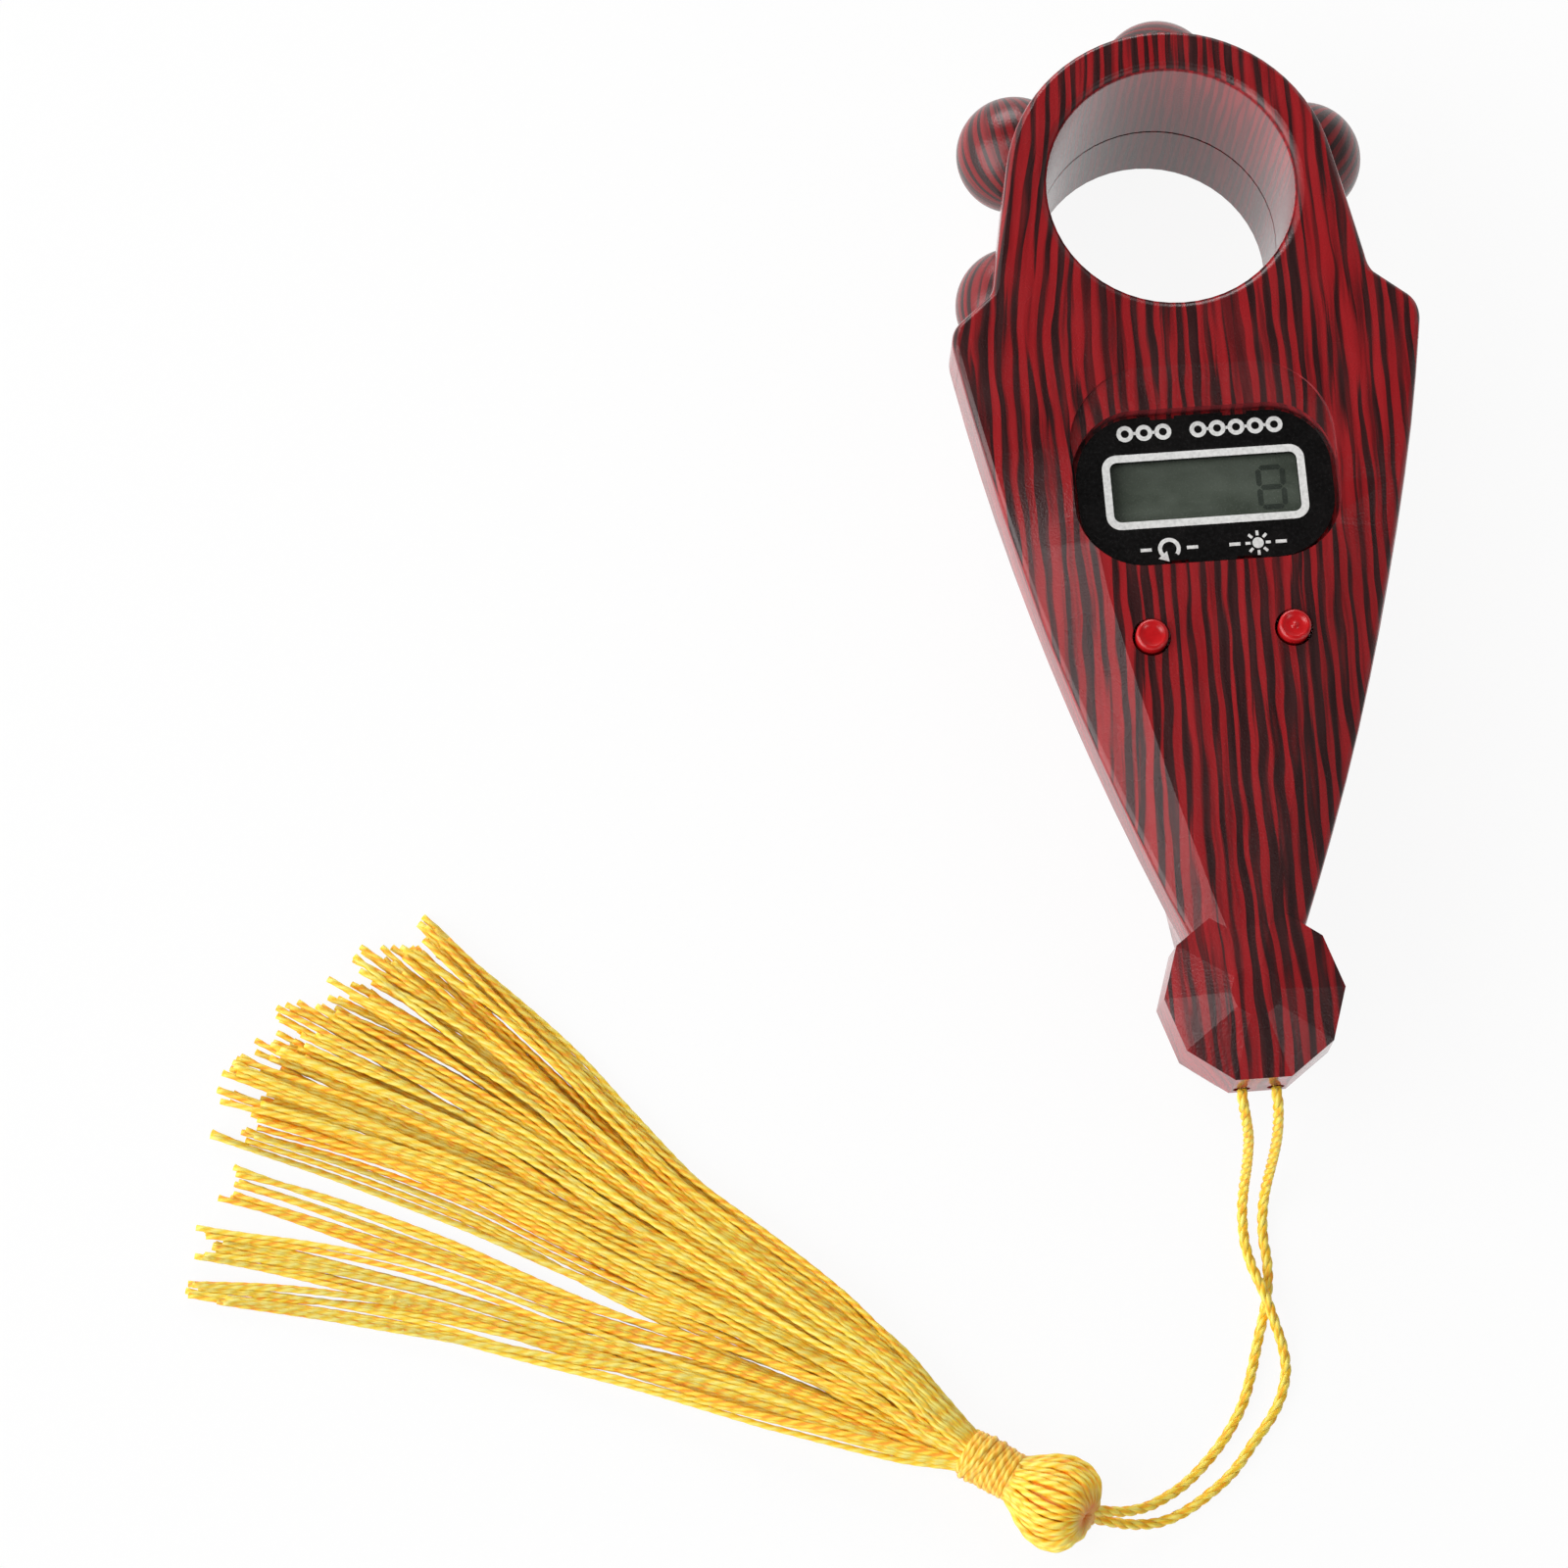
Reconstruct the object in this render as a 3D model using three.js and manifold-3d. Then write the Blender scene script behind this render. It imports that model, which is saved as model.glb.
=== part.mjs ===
// Electronic bead counter with a finger ring, a turning bead wheel and a tassel.
// It lies on its back. +Z is up out of the front face, +Y runs from the knob to the finger ring.
// Every piece is drawn about the bore axis with the back face at z = 0. The last lines move the
// whole product so that its origin is under the middle of the case. Lengths are in millimetres.

import * as THREE from 'three';
import { mergeVertices } from 'three/addons/utils/BufferGeometryUtils.js';
import Module from 'manifold-3d';

const wasm = await Module();
wasm.setup();

// Clearances
const SEAT = 0.3;                  // between pieces that seat on or run in each other
const OVERRUN = 1.0;               // how far a cutter passes the face that it opens
const CHAMBER_CLEARANCE = 1.0;     // round the beads

// Finger ring
const BORE_RADIUS = 12.5;
const BORE_LIP = 0.9;              // rounding of the bore's front edge
const BORE_BACK_LIP = 0.5;
const COLLAR_RADIUS = 14.1;        // outside of the collar that the wheel turns on
const FRONT_COLLAR_LENGTH = 15.9;  // the collar's split line lies this far behind the front face
const RING_RADIUS = 16.7;
const REAR_RING_INSET = 0.3;

// Bead wheel
const BEAD_COUNT = 6;
const BEAD_RADIUS = 6.0;
const BEAD_CIRCLE_RADIUS = 17.2;
const FIRST_BEAD_ANGLE = 85;
const HUB_WALL = 1.2;
const CROWN_WALL = 0.9;
const CROWN_RISE = 1.3;            // how far each crown enters its groove
const PEG_RADIUS = 1.5;
const PEG_LENGTH = 1.1;
const WASHER_THICKNESS = 0.4;
const CONTACT_RING_THICKNESS = 0.3;
const CONTACT_RING_LOBE = 0.35;

// Case depths
const FRONT_DEPTH = 7.0;
const REAR_PLATE = 6.8;
const BEAD_GAP = 2 * (BEAD_RADIUS + SEAT);
const CASE_DEPTH = FRONT_DEPTH + BEAD_GAP + REAR_PLATE;
const PARTING_Z = CASE_DEPTH - FRONT_DEPTH;
const REAR_TOP_Z = PARTING_Z - SEAT;
const BEAD_Z = REAR_PLATE + BEAD_GAP / 2;
const COLLAR_SPLIT_Z = CASE_DEPTH - FRONT_COLLAR_LENGTH;

// Case outline
const EDGE_ROUND = 0.6;
const SHOULDER_Y = -16.0;
const SHOULDER_HALF = 23.4;
const SHOULDER_RISE = 2.9;
const NOTCH_HALF = 18.8;
const NOTCH_Y = -9.9;
const WAIST_BOW_HALF = 18.4;
const THROAT_HALF = 5.8;
const KNOB_Y = -82.95;
const THROAT_REACH = 6.6;         // from the knob's middle to the narrowest part of the body
const THROAT_Y = KNOB_Y + THROAT_REACH;
const PLATE_OVERLAP = 2.0;

// Faceted front
const RIDGE_TOP_Y = -39.0;
const RIDGE_TOP_HALF = 11.0;
const RIDGE_BOW_HALF = 7.7;
const RIDGE_END_HALF = 2.15;
const SIDE_SLOPE = 0.26;           // fall of the two side facets from the ridges to the edges
const SIDE_SLOPE_START_Y = -25.0;
const SIDE_SLOPE_FULL_Y = -46.0;
const PANEL_DROP_START_Y = -56.0;
const PANEL_DROP = 0.85;

// Knob
const KNOB_SIDES = 10;
const KNOB_RADIUS = 8.75;
const KNOB_DRAFT = 0.2;
const KNOB_TABLE_RADIUS = 2.45;
const CROWN_DROP = 1.2;
const KNOB_BACK_RADIUS = 4.6;
const KNOB_WALL = 2.3;

// Case walls
const FRONT_WALL = 1.8;
const CEILING_DEPTH = 3.8;
const REAR_WALL = 1.6;
const REAR_INSET_SHOULDER = 3.5;
const REAR_INSET_WAIST = 4.8;
const REAR_THROAT_HALF = 3.6;
const CAVITY_TOP_Y = -18.5;
const CAVITY_END_Y = -73.0;

// Display
const DISPLAY_X = 0.4;
const DISPLAY_Y = -31.75;
const LABEL_WIDTH = 25.4;
const LABEL_HEIGHT = 15.3;
const LABEL_CORNER = 6.2;
const LABEL_THICKNESS = 0.6;
const LABEL_SINK = 1.5;
const LABEL_NOTCH_WIDTH = 2.4;
const LABEL_NOTCH_DEPTH = 0.3;
const LABEL_NOTCH_X = 3.6;
const WINDOW_WIDTH = 18.6;
const WINDOW_HEIGHT = 6.2;
const WINDOW_CORNER = 0.6;
const POCKET_MARGIN = 0.5;
const RAMP_LENGTH = 4.3;
const LCD_WIDTH = 21.0;
const LCD_HEIGHT = 9.2;
const LCD_THICKNESS = 1.8;
const HOLDER_WALL = 0.6;
const ZEBRA_DEPTH = 1.6;
const LED_WIDTH = 1.2;
const LED_DEPTH = 2.4;

// Buttons
const BUTTON_SPACING = 14.0;
const BUTTON_Y = -47.2;
const BUTTON_RADIUS = 1.6;
const BUTTON_RIM = 0.3;             // rounding of the cap's top edge
const BUTTON_DISH = 0.1;
const BUTTON_PROUD = 1.0;
const BUTTON_FLANGE_RADIUS = 2.5;
const BUTTON_FLANGE = 0.6;
const BUTTON_TRAVEL = 0.8;
const SWITCH_SIZE = 6.0;
const SWITCH_HEIGHT = 3.1;
const PLUNGER_RADIUS = 1.5;

// Circuit board
const BOARD_THICKNESS = 1.6;
const BOARD_TOP_Y = -26.3;
const BOARD_BOTTOM_Y = -60.0;
const BOARD_TOP_HALF = 10.2;
const BOARD_BOTTOM_HALF = 7.2;
const BOARD_SCREW_X = 8.4;
const BOARD_SCREW_Y = -40.6;
const CHIP_Y = -55.0;
const CHIP_RADIUS = 3.2;
const WIPER_X = 1.7;
const WIPER_WIDTH = 1.4;
const LEAF = 0.25;
const WIPER_FOOT = 1.8;

// Batteries, held under the board
const CELL_RADIUS = 5.8;
const CELL_HEIGHT = 5.4;
const CELL_CAP = 0.9;              // step from the can to the smaller pole
const CELL_FIRST_Y = -34.4;
const CELL_PITCH = 13.2;
const BAY_HALF = 7.0;
const BAY_WALL = 1.2;
const DOOR_THICKNESS = 1.25;
const DOOR_RECESS = 0.15;
const DOOR_LIP = 0.7;
const DOOR_END_Y = -59.6;
const DOOR_SCREW_Y = -57.4;
const DOOR_CORNER = 1.6;

// Screws
const CASE_SCREW_X = 14.0;
const CASE_SCREW_Y = -26.5;
const SCREW_RADIUS = 0.9;
const SCREW_HEAD_RADIUS = 1.8;
const SCREW_HEAD = 1.3;
const CASE_SCREW_LENGTH = 14.0;
const BOARD_SCREW_LENGTH = 4.6;
const BOSS_RADIUS = 2.1;
const POST_TOP_Z = 11.7;

// Tassel cord
const CORD_RADIUS = 0.55;
const CORD_HOLE_X = 1.66;
const CORD_DEPTH = 5.6;            // of the two cord holes behind the front face
const CORD_Z = CASE_DEPTH - CORD_DEPTH;

// Tassel
const TASSEL_YAW = -35;
const TASSEL_TILT = 8.5;
const WRAP_CENTRE = new THREE.Vector3(-27.65, -123.9, 3.5);
const WRAP_RADIUS = 2.4;
const WRAP_THREAD_RADIUS = 0.3;
const WRAP_PITCH = 1.05;
const WRAP_LOOPS = 5;
const HEAD_RADIUS = 4.5;
const HEAD_HALF_LENGTH = 4.0;
const HEAD_OFFSET = 6.8;
const HEAD_FLUTES = 12;
const HEAD_FLUTE_DEPTH = 0.25;
const SKIRT_THICKNESS_START = 3.6;
const SKIRT_THICKNESS_END = 1.5;
const SKIRT_END_BULGE = 8.0;
const SKIRT_FLUTES = 12;
const SKIRT_FLUTE_DEPTH = 0.22;

// Roundness of the curved pieces
const RING_ROUNDNESS = 16;
const RING_FACETS = 56;
const HUB_FACETS = 48;
const SMALL_FACETS = 16;

// Helpers that turn geometries into solids, and back

function solid(geometry) {
  const bare = new THREE.BufferGeometry();
  bare.setAttribute('position', geometry.getAttribute('position'));
  if (geometry.index) bare.setIndex(geometry.index);
  const merged = mergeVertices(bare, 1e-5);
  return new wasm.Manifold(new wasm.Mesh({
    numProp: 3,
    vertProperties: new Float32Array(merged.getAttribute('position').array),
    triVerts: new Uint32Array(merged.index.array),
  }));
}

function geometryOf(body) {
  const mesh = body.getMesh();
  const geometry = new THREE.BufferGeometry();
  geometry.setAttribute('position', new THREE.BufferAttribute(new Float32Array(mesh.vertProperties), 3));
  geometry.setIndex(new THREE.BufferAttribute(new Uint32Array(mesh.triVerts), 1));
  geometry.computeVertexNormals();
  return geometry;
}

const join = (...bodies) => bodies.reduce((whole, body) => whole.add(body));
const cut = (body, ...tools) => tools.reduce((left, tool) => left.subtract(tool), body);

// Helpers that make the basic solids, all standing along +Z

function prism(shape, z0, z1, bevel = 0, roundness = 7) {
  const geometry = new THREE.ExtrudeGeometry(shape, {
    depth: z1 - z0 - 2 * bevel,
    bevelEnabled: bevel > 0,
    bevelThickness: bevel,
    bevelSize: bevel,
    bevelOffset: -bevel,
    bevelSegments: 2,
    curveSegments: roundness,
  });
  geometry.translate(0, 0, z0 + bevel);
  return solid(geometry);
}

function revolve(profile, x = 0, y = 0, facets = SMALL_FACETS, start = 0) {
  const points = profile.map(([r, z]) => new THREE.Vector2(r, z));
  const onAxis = profile[0][0] === 0 && profile[profile.length - 1][0] === 0;
  if (!onAxis) points.push(points[0].clone());
  const geometry = new THREE.LatheGeometry(points, facets, start, 2 * Math.PI);
  geometry.rotateX(Math.PI / 2);
  geometry.translate(x, y, 0);
  return upright(geometry);
}

function cylinder(radius, z0, z1, x = 0, y = 0, facets = SMALL_FACETS) {
  return revolve([[0, z0], [radius, z0], [radius, z1], [0, z1]], x, y, facets);
}

function tube(inner, outer, z0, z1, facets = RING_FACETS) {
  return revolve([[inner, z0], [outer, z0], [outer, z1], [inner, z1]], 0, 0, facets);
}

function block(width, depth, z0, z1, x = 0, y = 0) {
  const geometry = new THREE.BoxGeometry(width, depth, z1 - z0);
  geometry.translate(x, y, (z0 + z1) / 2);
  return solid(geometry);
}

// A solid whose faces point in is turned the right way out

function upright(geometry) {
  const flat = geometry.index ? geometry.toNonIndexed() : geometry;
  const p = flat.getAttribute('position');
  const [a, b, c] = [new THREE.Vector3(), new THREE.Vector3(), new THREE.Vector3()];
  let volume = 0;
  for (let i = 0; i < p.count; i += 3) {
    a.fromBufferAttribute(p, i);
    b.fromBufferAttribute(p, i + 1);
    c.fromBufferAttribute(p, i + 2);
    volume += a.dot(b.cross(c));
  }
  if (volume > 0) return solid(flat);
  const turned = flat.clone();
  const q = turned.getAttribute('position');
  for (let i = 0; i < q.count; i += 3) {
    b.fromBufferAttribute(p, i + 1);
    c.fromBufferAttribute(p, i + 2);
    q.setXYZ(i + 1, c.x, c.y, c.z);
    q.setXYZ(i + 2, b.x, b.y, b.z);
  }
  return solid(turned);
}

// A body through closed rings of equal point counts, with flat ends

function loft(rings) {
  const count = rings[0].length;
  const positions = rings.flat().flatMap((p) => [p.x, p.y, p.z]);
  const index = [];
  for (let r = 0; r + 1 < rings.length; r++) {
    for (let i = 0; i < count; i++) {
      const j = (i + 1) % count;
      const low = r * count;
      const high = low + count;
      index.push(low + i, low + j, high + j, low + i, high + j, high + i);
    }
  }
  const last = (rings.length - 1) * count;
  for (let i = 1; i + 1 < count; i++) {
    index.push(0, i + 1, i, last, last + i, last + i + 1);
  }
  const geometry = new THREE.BufferGeometry();
  geometry.setAttribute('position', new THREE.Float32BufferAttribute(positions, 3));
  geometry.setIndex(index);
  return upright(geometry);
}

function roundedRectangle(width, height, corner, x = 0, y = 0) {
  const shape = new THREE.Shape();
  const [w, h] = [width / 2 - corner, height / 2 - corner];
  shape.absarc(x + w, y + h, corner, 0, Math.PI / 2, false);
  shape.absarc(x - w, y + h, corner, Math.PI / 2, Math.PI, false);
  shape.absarc(x - w, y - h, corner, Math.PI, 1.5 * Math.PI, false);
  shape.absarc(x + w, y - h, corner, 1.5 * Math.PI, 2 * Math.PI, false);
  return shape;
}

const smooth = (from, to, y) => THREE.MathUtils.smoothstep(from - y, 0, from - to);
const bow = (a, c, b, t) => (1 - t) ** 2 * a + 2 * t * (1 - t) * c + t ** 2 * b;
const polar = (radius, angle) => [radius * Math.cos(angle), radius * Math.sin(angle)];

// Case outline, as half-widths along the product

function halfWidth(y) {
  return bow(SHOULDER_HALF, WAIST_BOW_HALF, THROAT_HALF, (SHOULDER_Y - y) / (SHOULDER_Y - THROAT_Y));
}

function ridgeHalf(y) {
  const t = Math.max(0, (RIDGE_TOP_Y - y) / (RIDGE_TOP_Y - THROAT_Y));
  return bow(RIDGE_TOP_HALF, RIDGE_BOW_HALF, RIDGE_END_HALF, t);
}

function rearHalf(y) {
  const waist = (REAR_INSET_WAIST - REAR_INSET_SHOULDER) * smooth(SHOULDER_Y, BUTTON_Y, y);
  return Math.max(REAR_THROAT_HALF, halfWidth(y) - REAR_INSET_SHOULDER - waist);
}

function stations(from, to, count) {
  return Array.from({ length: count + 1 }, (_, i) => from + ((to - from) * i) / count);
}

// The plate round the finger ring and the shoulders, seen from the front

function ringPlate() {
  const ring = RING_RADIUS;
  const notch = NOTCH_HALF;
  const reach = Math.hypot(notch, NOTCH_Y);
  const leave = Math.atan2(NOTCH_Y, notch) + Math.acos(ring / reach);
  const side = SHOULDER_HALF;
  const tip = SHOULDER_Y + SHOULDER_RISE;
  const low = SHOULDER_Y - PLATE_OVERLAP;
  const lowHalf = halfWidth(low);
  const shape = new THREE.Shape();
  shape.moveTo(lowHalf, low);
  shape.lineTo(side, SHOULDER_Y);
  shape.quadraticCurveTo(side + 0.2, tip - 1.0, side - 1.1, tip);
  shape.lineTo(notch + 0.6, NOTCH_Y - 0.8);
  shape.quadraticCurveTo(notch, NOTCH_Y - 0.2, notch - 0.15, NOTCH_Y + 1.2);
  shape.absarc(0, 0, ring, leave, Math.PI - leave, false);
  shape.lineTo(-notch + 0.15, NOTCH_Y + 1.2);
  shape.quadraticCurveTo(-notch, NOTCH_Y - 0.2, -notch - 0.6, NOTCH_Y - 0.8);
  shape.lineTo(-side + 1.1, tip);
  shape.quadraticCurveTo(-side - 0.2, tip - 1.0, -side, SHOULDER_Y);
  shape.lineTo(-lowHalf, low);
  return shape;
}

// Front case

function frontSection(y) {
  const w = halfWidth(y);
  const panel = CASE_DEPTH - PANEL_DROP * smooth(PANEL_DROP_START_Y, THROAT_Y, y);
  const slope = SIDE_SLOPE * smooth(SIDE_SLOPE_START_Y, SIDE_SLOPE_FULL_Y, y);
  const edge = panel - slope * (w - ridgeHalf(y));
  const soft = 0.3 * EDGE_ROUND;
  const right = [
    [w, PARTING_Z],
    [w, edge - EDGE_ROUND],
    [w - soft, edge - soft],
    [w - EDGE_ROUND, edge],
    [ridgeHalf(y), panel],
  ];
  const left = right.map(([x, z]) => [-x, z]).reverse();
  return [...right, ...left].map(([x, z]) => new THREE.Vector3(x, y, z));
}

function frontKnob() {
  return revolve([
    [0, PARTING_Z],
    [KNOB_RADIUS + KNOB_DRAFT, PARTING_Z],
    [KNOB_RADIUS, CASE_DEPTH - CROWN_DROP],
    [KNOB_TABLE_RADIUS, CASE_DEPTH],
    [0, CASE_DEPTH],
  ], 0, KNOB_Y, KNOB_SIDES, Math.PI / KNOB_SIDES);
}

const CEILING_Z = CASE_DEPTH - CEILING_DEPTH;
const CHAMBER_RADIUS = BEAD_CIRCLE_RADIUS + BEAD_RADIUS + CHAMBER_CLEARANCE;
const CHAMBER_WALL_RADIUS = CHAMBER_RADIUS + REAR_WALL;
const HUB_INNER = COLLAR_RADIUS + SEAT;
const GROOVE_RADIUS = HUB_INNER + CROWN_WALL + SEAT;
const CROWN_TOP_Z = PARTING_Z + CROWN_RISE;
const CONTACT_RING_Z = CROWN_TOP_Z + SEAT;
const WIPER_Z = CONTACT_RING_Z + CONTACT_RING_THICKNESS + SEAT;
const GROOVE_TOP_Z = WIPER_Z + LEAF + SEAT;
const CROWN_BOTTOM_Z = REAR_PLATE - CROWN_RISE - SEAT;
const WASHER_Z = CROWN_BOTTOM_Z - SEAT - WASHER_THICKNESS;
const LABEL_TOP_Z = CASE_DEPTH - LABEL_SINK;
const POCKET_Z = LABEL_TOP_Z - LABEL_THICKNESS - SEAT;
const LCD_TOP_Z = POCKET_Z - SEAT;
const LCD_Z = LCD_TOP_Z - LCD_THICKNESS;
const HOLDER_INNER = [LCD_WIDTH + 2 * SEAT, LCD_HEIGHT + 2 * SEAT];
const BUTTON_XS = [DISPLAY_X - BUTTON_SPACING / 2, DISPLAY_X + BUTTON_SPACING / 2];
const BUTTON_FLANGE_Z = CEILING_Z - SEAT - BUTTON_FLANGE;
const PLUNGER_TOP_Z = BUTTON_FLANGE_Z - SEAT;
const SWITCH_TOP_Z = BUTTON_FLANGE_Z - BUTTON_TRAVEL - SEAT;
const BOARD_TOP_Z = SWITCH_TOP_Z - SWITCH_HEIGHT - SEAT;
const BOARD_Z = BOARD_TOP_Z - BOARD_THICKNESS;
const BOARD_BOSS_Z = BOARD_TOP_Z + SEAT;
const CASE_SCREWS = [[-CASE_SCREW_X, CASE_SCREW_Y], [CASE_SCREW_X, CASE_SCREW_Y], [0, KNOB_Y]];
const BOARD_SCREWS = [[-BOARD_SCREW_X, BOARD_SCREW_Y], [BOARD_SCREW_X, BOARD_SCREW_Y]];
const FRONT_BOSS_Z = POST_TOP_Z + SEAT;
const SCREW_HEAD_Z = REAR_WALL;
const PILOT_RADIUS = SCREW_RADIUS + SEAT;

function boreCutter() {
  const lip = (z, sign, size) => [0, 0.35, 0.7, 1].map((s) => [
    BORE_RADIUS + size * (1 - Math.cos((s * Math.PI) / 2)),
    z - sign * size * (1 - Math.sin((s * Math.PI) / 2)),
  ]);
  const back = lip(0, -1, BORE_BACK_LIP).reverse();
  const front = lip(CASE_DEPTH, 1, BORE_LIP);
  return revolve([
    [0, -1],
    [BORE_RADIUS + BORE_BACK_LIP, -1],
    ...back,
    ...front,
    [BORE_RADIUS + BORE_LIP, CASE_DEPTH + 1],
    [0, CASE_DEPTH + 1],
  ], 0, 0, RING_FACETS);
}

function cavity(topHalf, lowHalf, z0, z1, endY) {
  const rings = stations(CAVITY_TOP_Y, endY, 10).map((y) => [
    new THREE.Vector3(lowHalf(y), y, z0),
    new THREE.Vector3(topHalf(y), y, z1),
    new THREE.Vector3(-topHalf(y), y, z1),
    new THREE.Vector3(-lowHalf(y), y, z0),
  ]);
  return cut(loft(rings), cylinder(CHAMBER_WALL_RADIUS, z0 - 1, z1 + 1, 0, 0, RING_FACETS));
}

function displayPocket() {
  const width = LABEL_WIDTH + 2 * POCKET_MARGIN;
  const height = LABEL_HEIGHT + 2 * POCKET_MARGIN;
  const corner = LABEL_CORNER + POCKET_MARGIN;
  const well = prism(roundedRectangle(width, height, corner, DISPLAY_X, DISPLAY_Y), POCKET_Z, CASE_DEPTH + 1);
  const plan = roundedRectangle(
    width, height + RAMP_LENGTH, corner + 1.5, DISPLAY_X, DISPLAY_Y + RAMP_LENGTH / 2);
  const top = DISPLAY_Y + height / 2;
  const wedge = new THREE.Shape([
    new THREE.Vector2(top + RAMP_LENGTH, CASE_DEPTH),
    new THREE.Vector2(top - LABEL_CORNER, CASE_DEPTH - LABEL_SINK),
    new THREE.Vector2(top - LABEL_CORNER, CASE_DEPTH + 1),
    new THREE.Vector2(top + RAMP_LENGTH, CASE_DEPTH + 1),
  ]);
  const ramp = prism(plan, POCKET_Z, CASE_DEPTH + 1).intersect(alongX(wedge, DISPLAY_X, width + 2));
  const window = prism(
    roundedRectangle(...HOLDER_INNER, WINDOW_CORNER, DISPLAY_X, DISPLAY_Y),
    CEILING_Z - OVERRUN, CASE_DEPTH + OVERRUN);
  return join(well, ramp, window);
}

// A profile drawn in y and z, run along x about a middle

function alongX(shape, x, width) {
  const geometry = new THREE.ExtrudeGeometry(shape, { depth: width, bevelEnabled: false });
  geometry.applyMatrix4(new THREE.Matrix4().set(
    0, 0, 1, x - width / 2,
    1, 0, 0, 0,
    0, 1, 0, 0,
    0, 0, 0, 1));
  return solid(geometry);
}

function frontCase() {
  const plate = prism(ringPlate(), PARTING_Z - EDGE_ROUND, CASE_DEPTH, EDGE_ROUND, RING_ROUNDNESS)
    .trimByPlane([0, 0, 1], PARTING_Z);
  const body = loft(stations(SHOULDER_Y - 0.8, THROAT_Y - 1.5, 12).map(frontSection));
  const collar = cylinder(COLLAR_RADIUS, COLLAR_SPLIT_Z, PARTING_Z + OVERRUN, 0, 0, RING_FACETS);
  const shell = join(plate, body, frontKnob(), collar);
  const inside = cavity(
    (y) => halfWidth(y) - FRONT_WALL, (y) => halfWidth(y) - FRONT_WALL,
    PARTING_Z - 1, CEILING_Z, CAVITY_END_Y);
  const knobRoom = revolve([
    [0, PARTING_Z - 1], [KNOB_RADIUS - KNOB_WALL, PARTING_Z - 1],
    [KNOB_RADIUS - KNOB_WALL, CEILING_Z], [0, CEILING_Z],
  ], 0, KNOB_Y, KNOB_SIDES, Math.PI / KNOB_SIDES);
  const groove = tube(COLLAR_RADIUS, GROOVE_RADIUS, PARTING_Z - 1, GROOVE_TOP_Z);
  const channel = block(
    2 * (WIPER_X + WIPER_WIDTH), CHAMBER_WALL_RADIUS + 2 - HUB_INNER, PARTING_Z - 1, GROOVE_TOP_Z,
    0, -(CHAMBER_WALL_RADIUS + 2 + HUB_INNER) / 2);
  const hollow = cut(shell, inside, knobRoom, groove, channel);
  const bosses = [
    ...CASE_SCREWS.map(([x, y]) => cylinder(BOSS_RADIUS, FRONT_BOSS_Z, CEILING_Z + 0.5, x, y)),
    ...BOARD_SCREWS.map(([x, y]) => cylinder(BOSS_RADIUS - SEAT, BOARD_BOSS_Z, CEILING_Z + 0.5, x, y)),
  ];
  const pilots = [
    ...CASE_SCREWS.map(([x, y]) => cylinder(
      PILOT_RADIUS, FRONT_BOSS_Z - 1, SCREW_HEAD_Z + SCREW_HEAD + CASE_SCREW_LENGTH + SEAT, x, y)),
    ...BOARD_SCREWS.map(([x, y]) => cylinder(
      PILOT_RADIUS, BOARD_BOSS_Z - 1, BOARD_Z - SEAT + BOARD_SCREW_LENGTH + SEAT, x, y)),
  ];
  const buttonHoles = BUTTON_XS.map((x) => cylinder(
    BUTTON_RADIUS + SEAT, CEILING_Z - 1, CASE_DEPTH + 1, x, BUTTON_Y, 28));
  const cordHoles = [-CORD_HOLE_X, CORD_HOLE_X].map((x) => {
    const geometry = new THREE.CylinderGeometry(CORD_RADIUS + SEAT, CORD_RADIUS + SEAT, KNOB_RADIUS, 14);
    geometry.translate(x, KNOB_Y - KNOB_RADIUS, CORD_Z);
    return solid(geometry);
  });
  return cut(join(hollow, ...bosses), ...pilots, ...buttonHoles, ...cordHoles, boreCutter(), displayPocket());
}

// Rear case

function rearSection(y) {
  const top = halfWidth(y) - SEAT;
  const low = rearHalf(y);
  const soft = 0.3 * EDGE_ROUND;
  const right = [
    [low - EDGE_ROUND, 0],
    [low - soft, soft],
    [low + EDGE_ROUND * ((top - low) / REAR_TOP_Z), EDGE_ROUND],
    [top, REAR_TOP_Z],
  ];
  const left = right.map(([x, z]) => [-x, z]).reverse();
  return [...right, ...left].map(([x, z]) => new THREE.Vector3(x, y, z));
}

function rearKnob(inset, z0) {
  return revolve([
    [0, z0],
    [KNOB_BACK_RADIUS - inset + (z0 * (KNOB_RADIUS - KNOB_BACK_RADIUS)) / REAR_TOP_Z, z0],
    [KNOB_RADIUS - inset - 0.1, REAR_TOP_Z + (inset ? 1 : 0)],
    [0, REAR_TOP_Z + (inset ? 1 : 0)],
  ], 0, KNOB_Y, KNOB_SIDES, Math.PI / KNOB_SIDES);
}

// The door and its bay narrow towards the knob as the back does

const BAY_TOP_Y = CELL_FIRST_Y + CELL_RADIUS + 4.5 * SEAT;
const BAY_END_Y = CELL_FIRST_Y - CELL_PITCH - CELL_RADIUS - 4.5 * SEAT;
const DOOR_TOP_Z = DOOR_RECESS + DOOR_THICKNESS;
const LINK_Z = DOOR_TOP_Z + SEAT;
const CELL_Z = LINK_Z + LEAF + SEAT;
const CONTACT_Z = CELL_Z + CELL_HEIGHT + SEAT;
const BAY_CEILING_Z = CONTACT_Z + LEAF + SEAT;
const TRAY_TOP_Z = BAY_CEILING_Z + BAY_WALL;

function bayPlan(grow) {
  const taperY = CELL_FIRST_Y - CELL_PITCH - 1.4;
  const half = BAY_HALF + grow;
  return new THREE.Shape([
    new THREE.Vector2(half, BAY_TOP_Y + grow),
    new THREE.Vector2(-half, BAY_TOP_Y + grow),
    new THREE.Vector2(-half, taperY),
    new THREE.Vector2(-half / 2, BAY_END_Y - grow),
    new THREE.Vector2(half / 2, BAY_END_Y - grow),
    new THREE.Vector2(half, taperY),
  ]);
}

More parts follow.
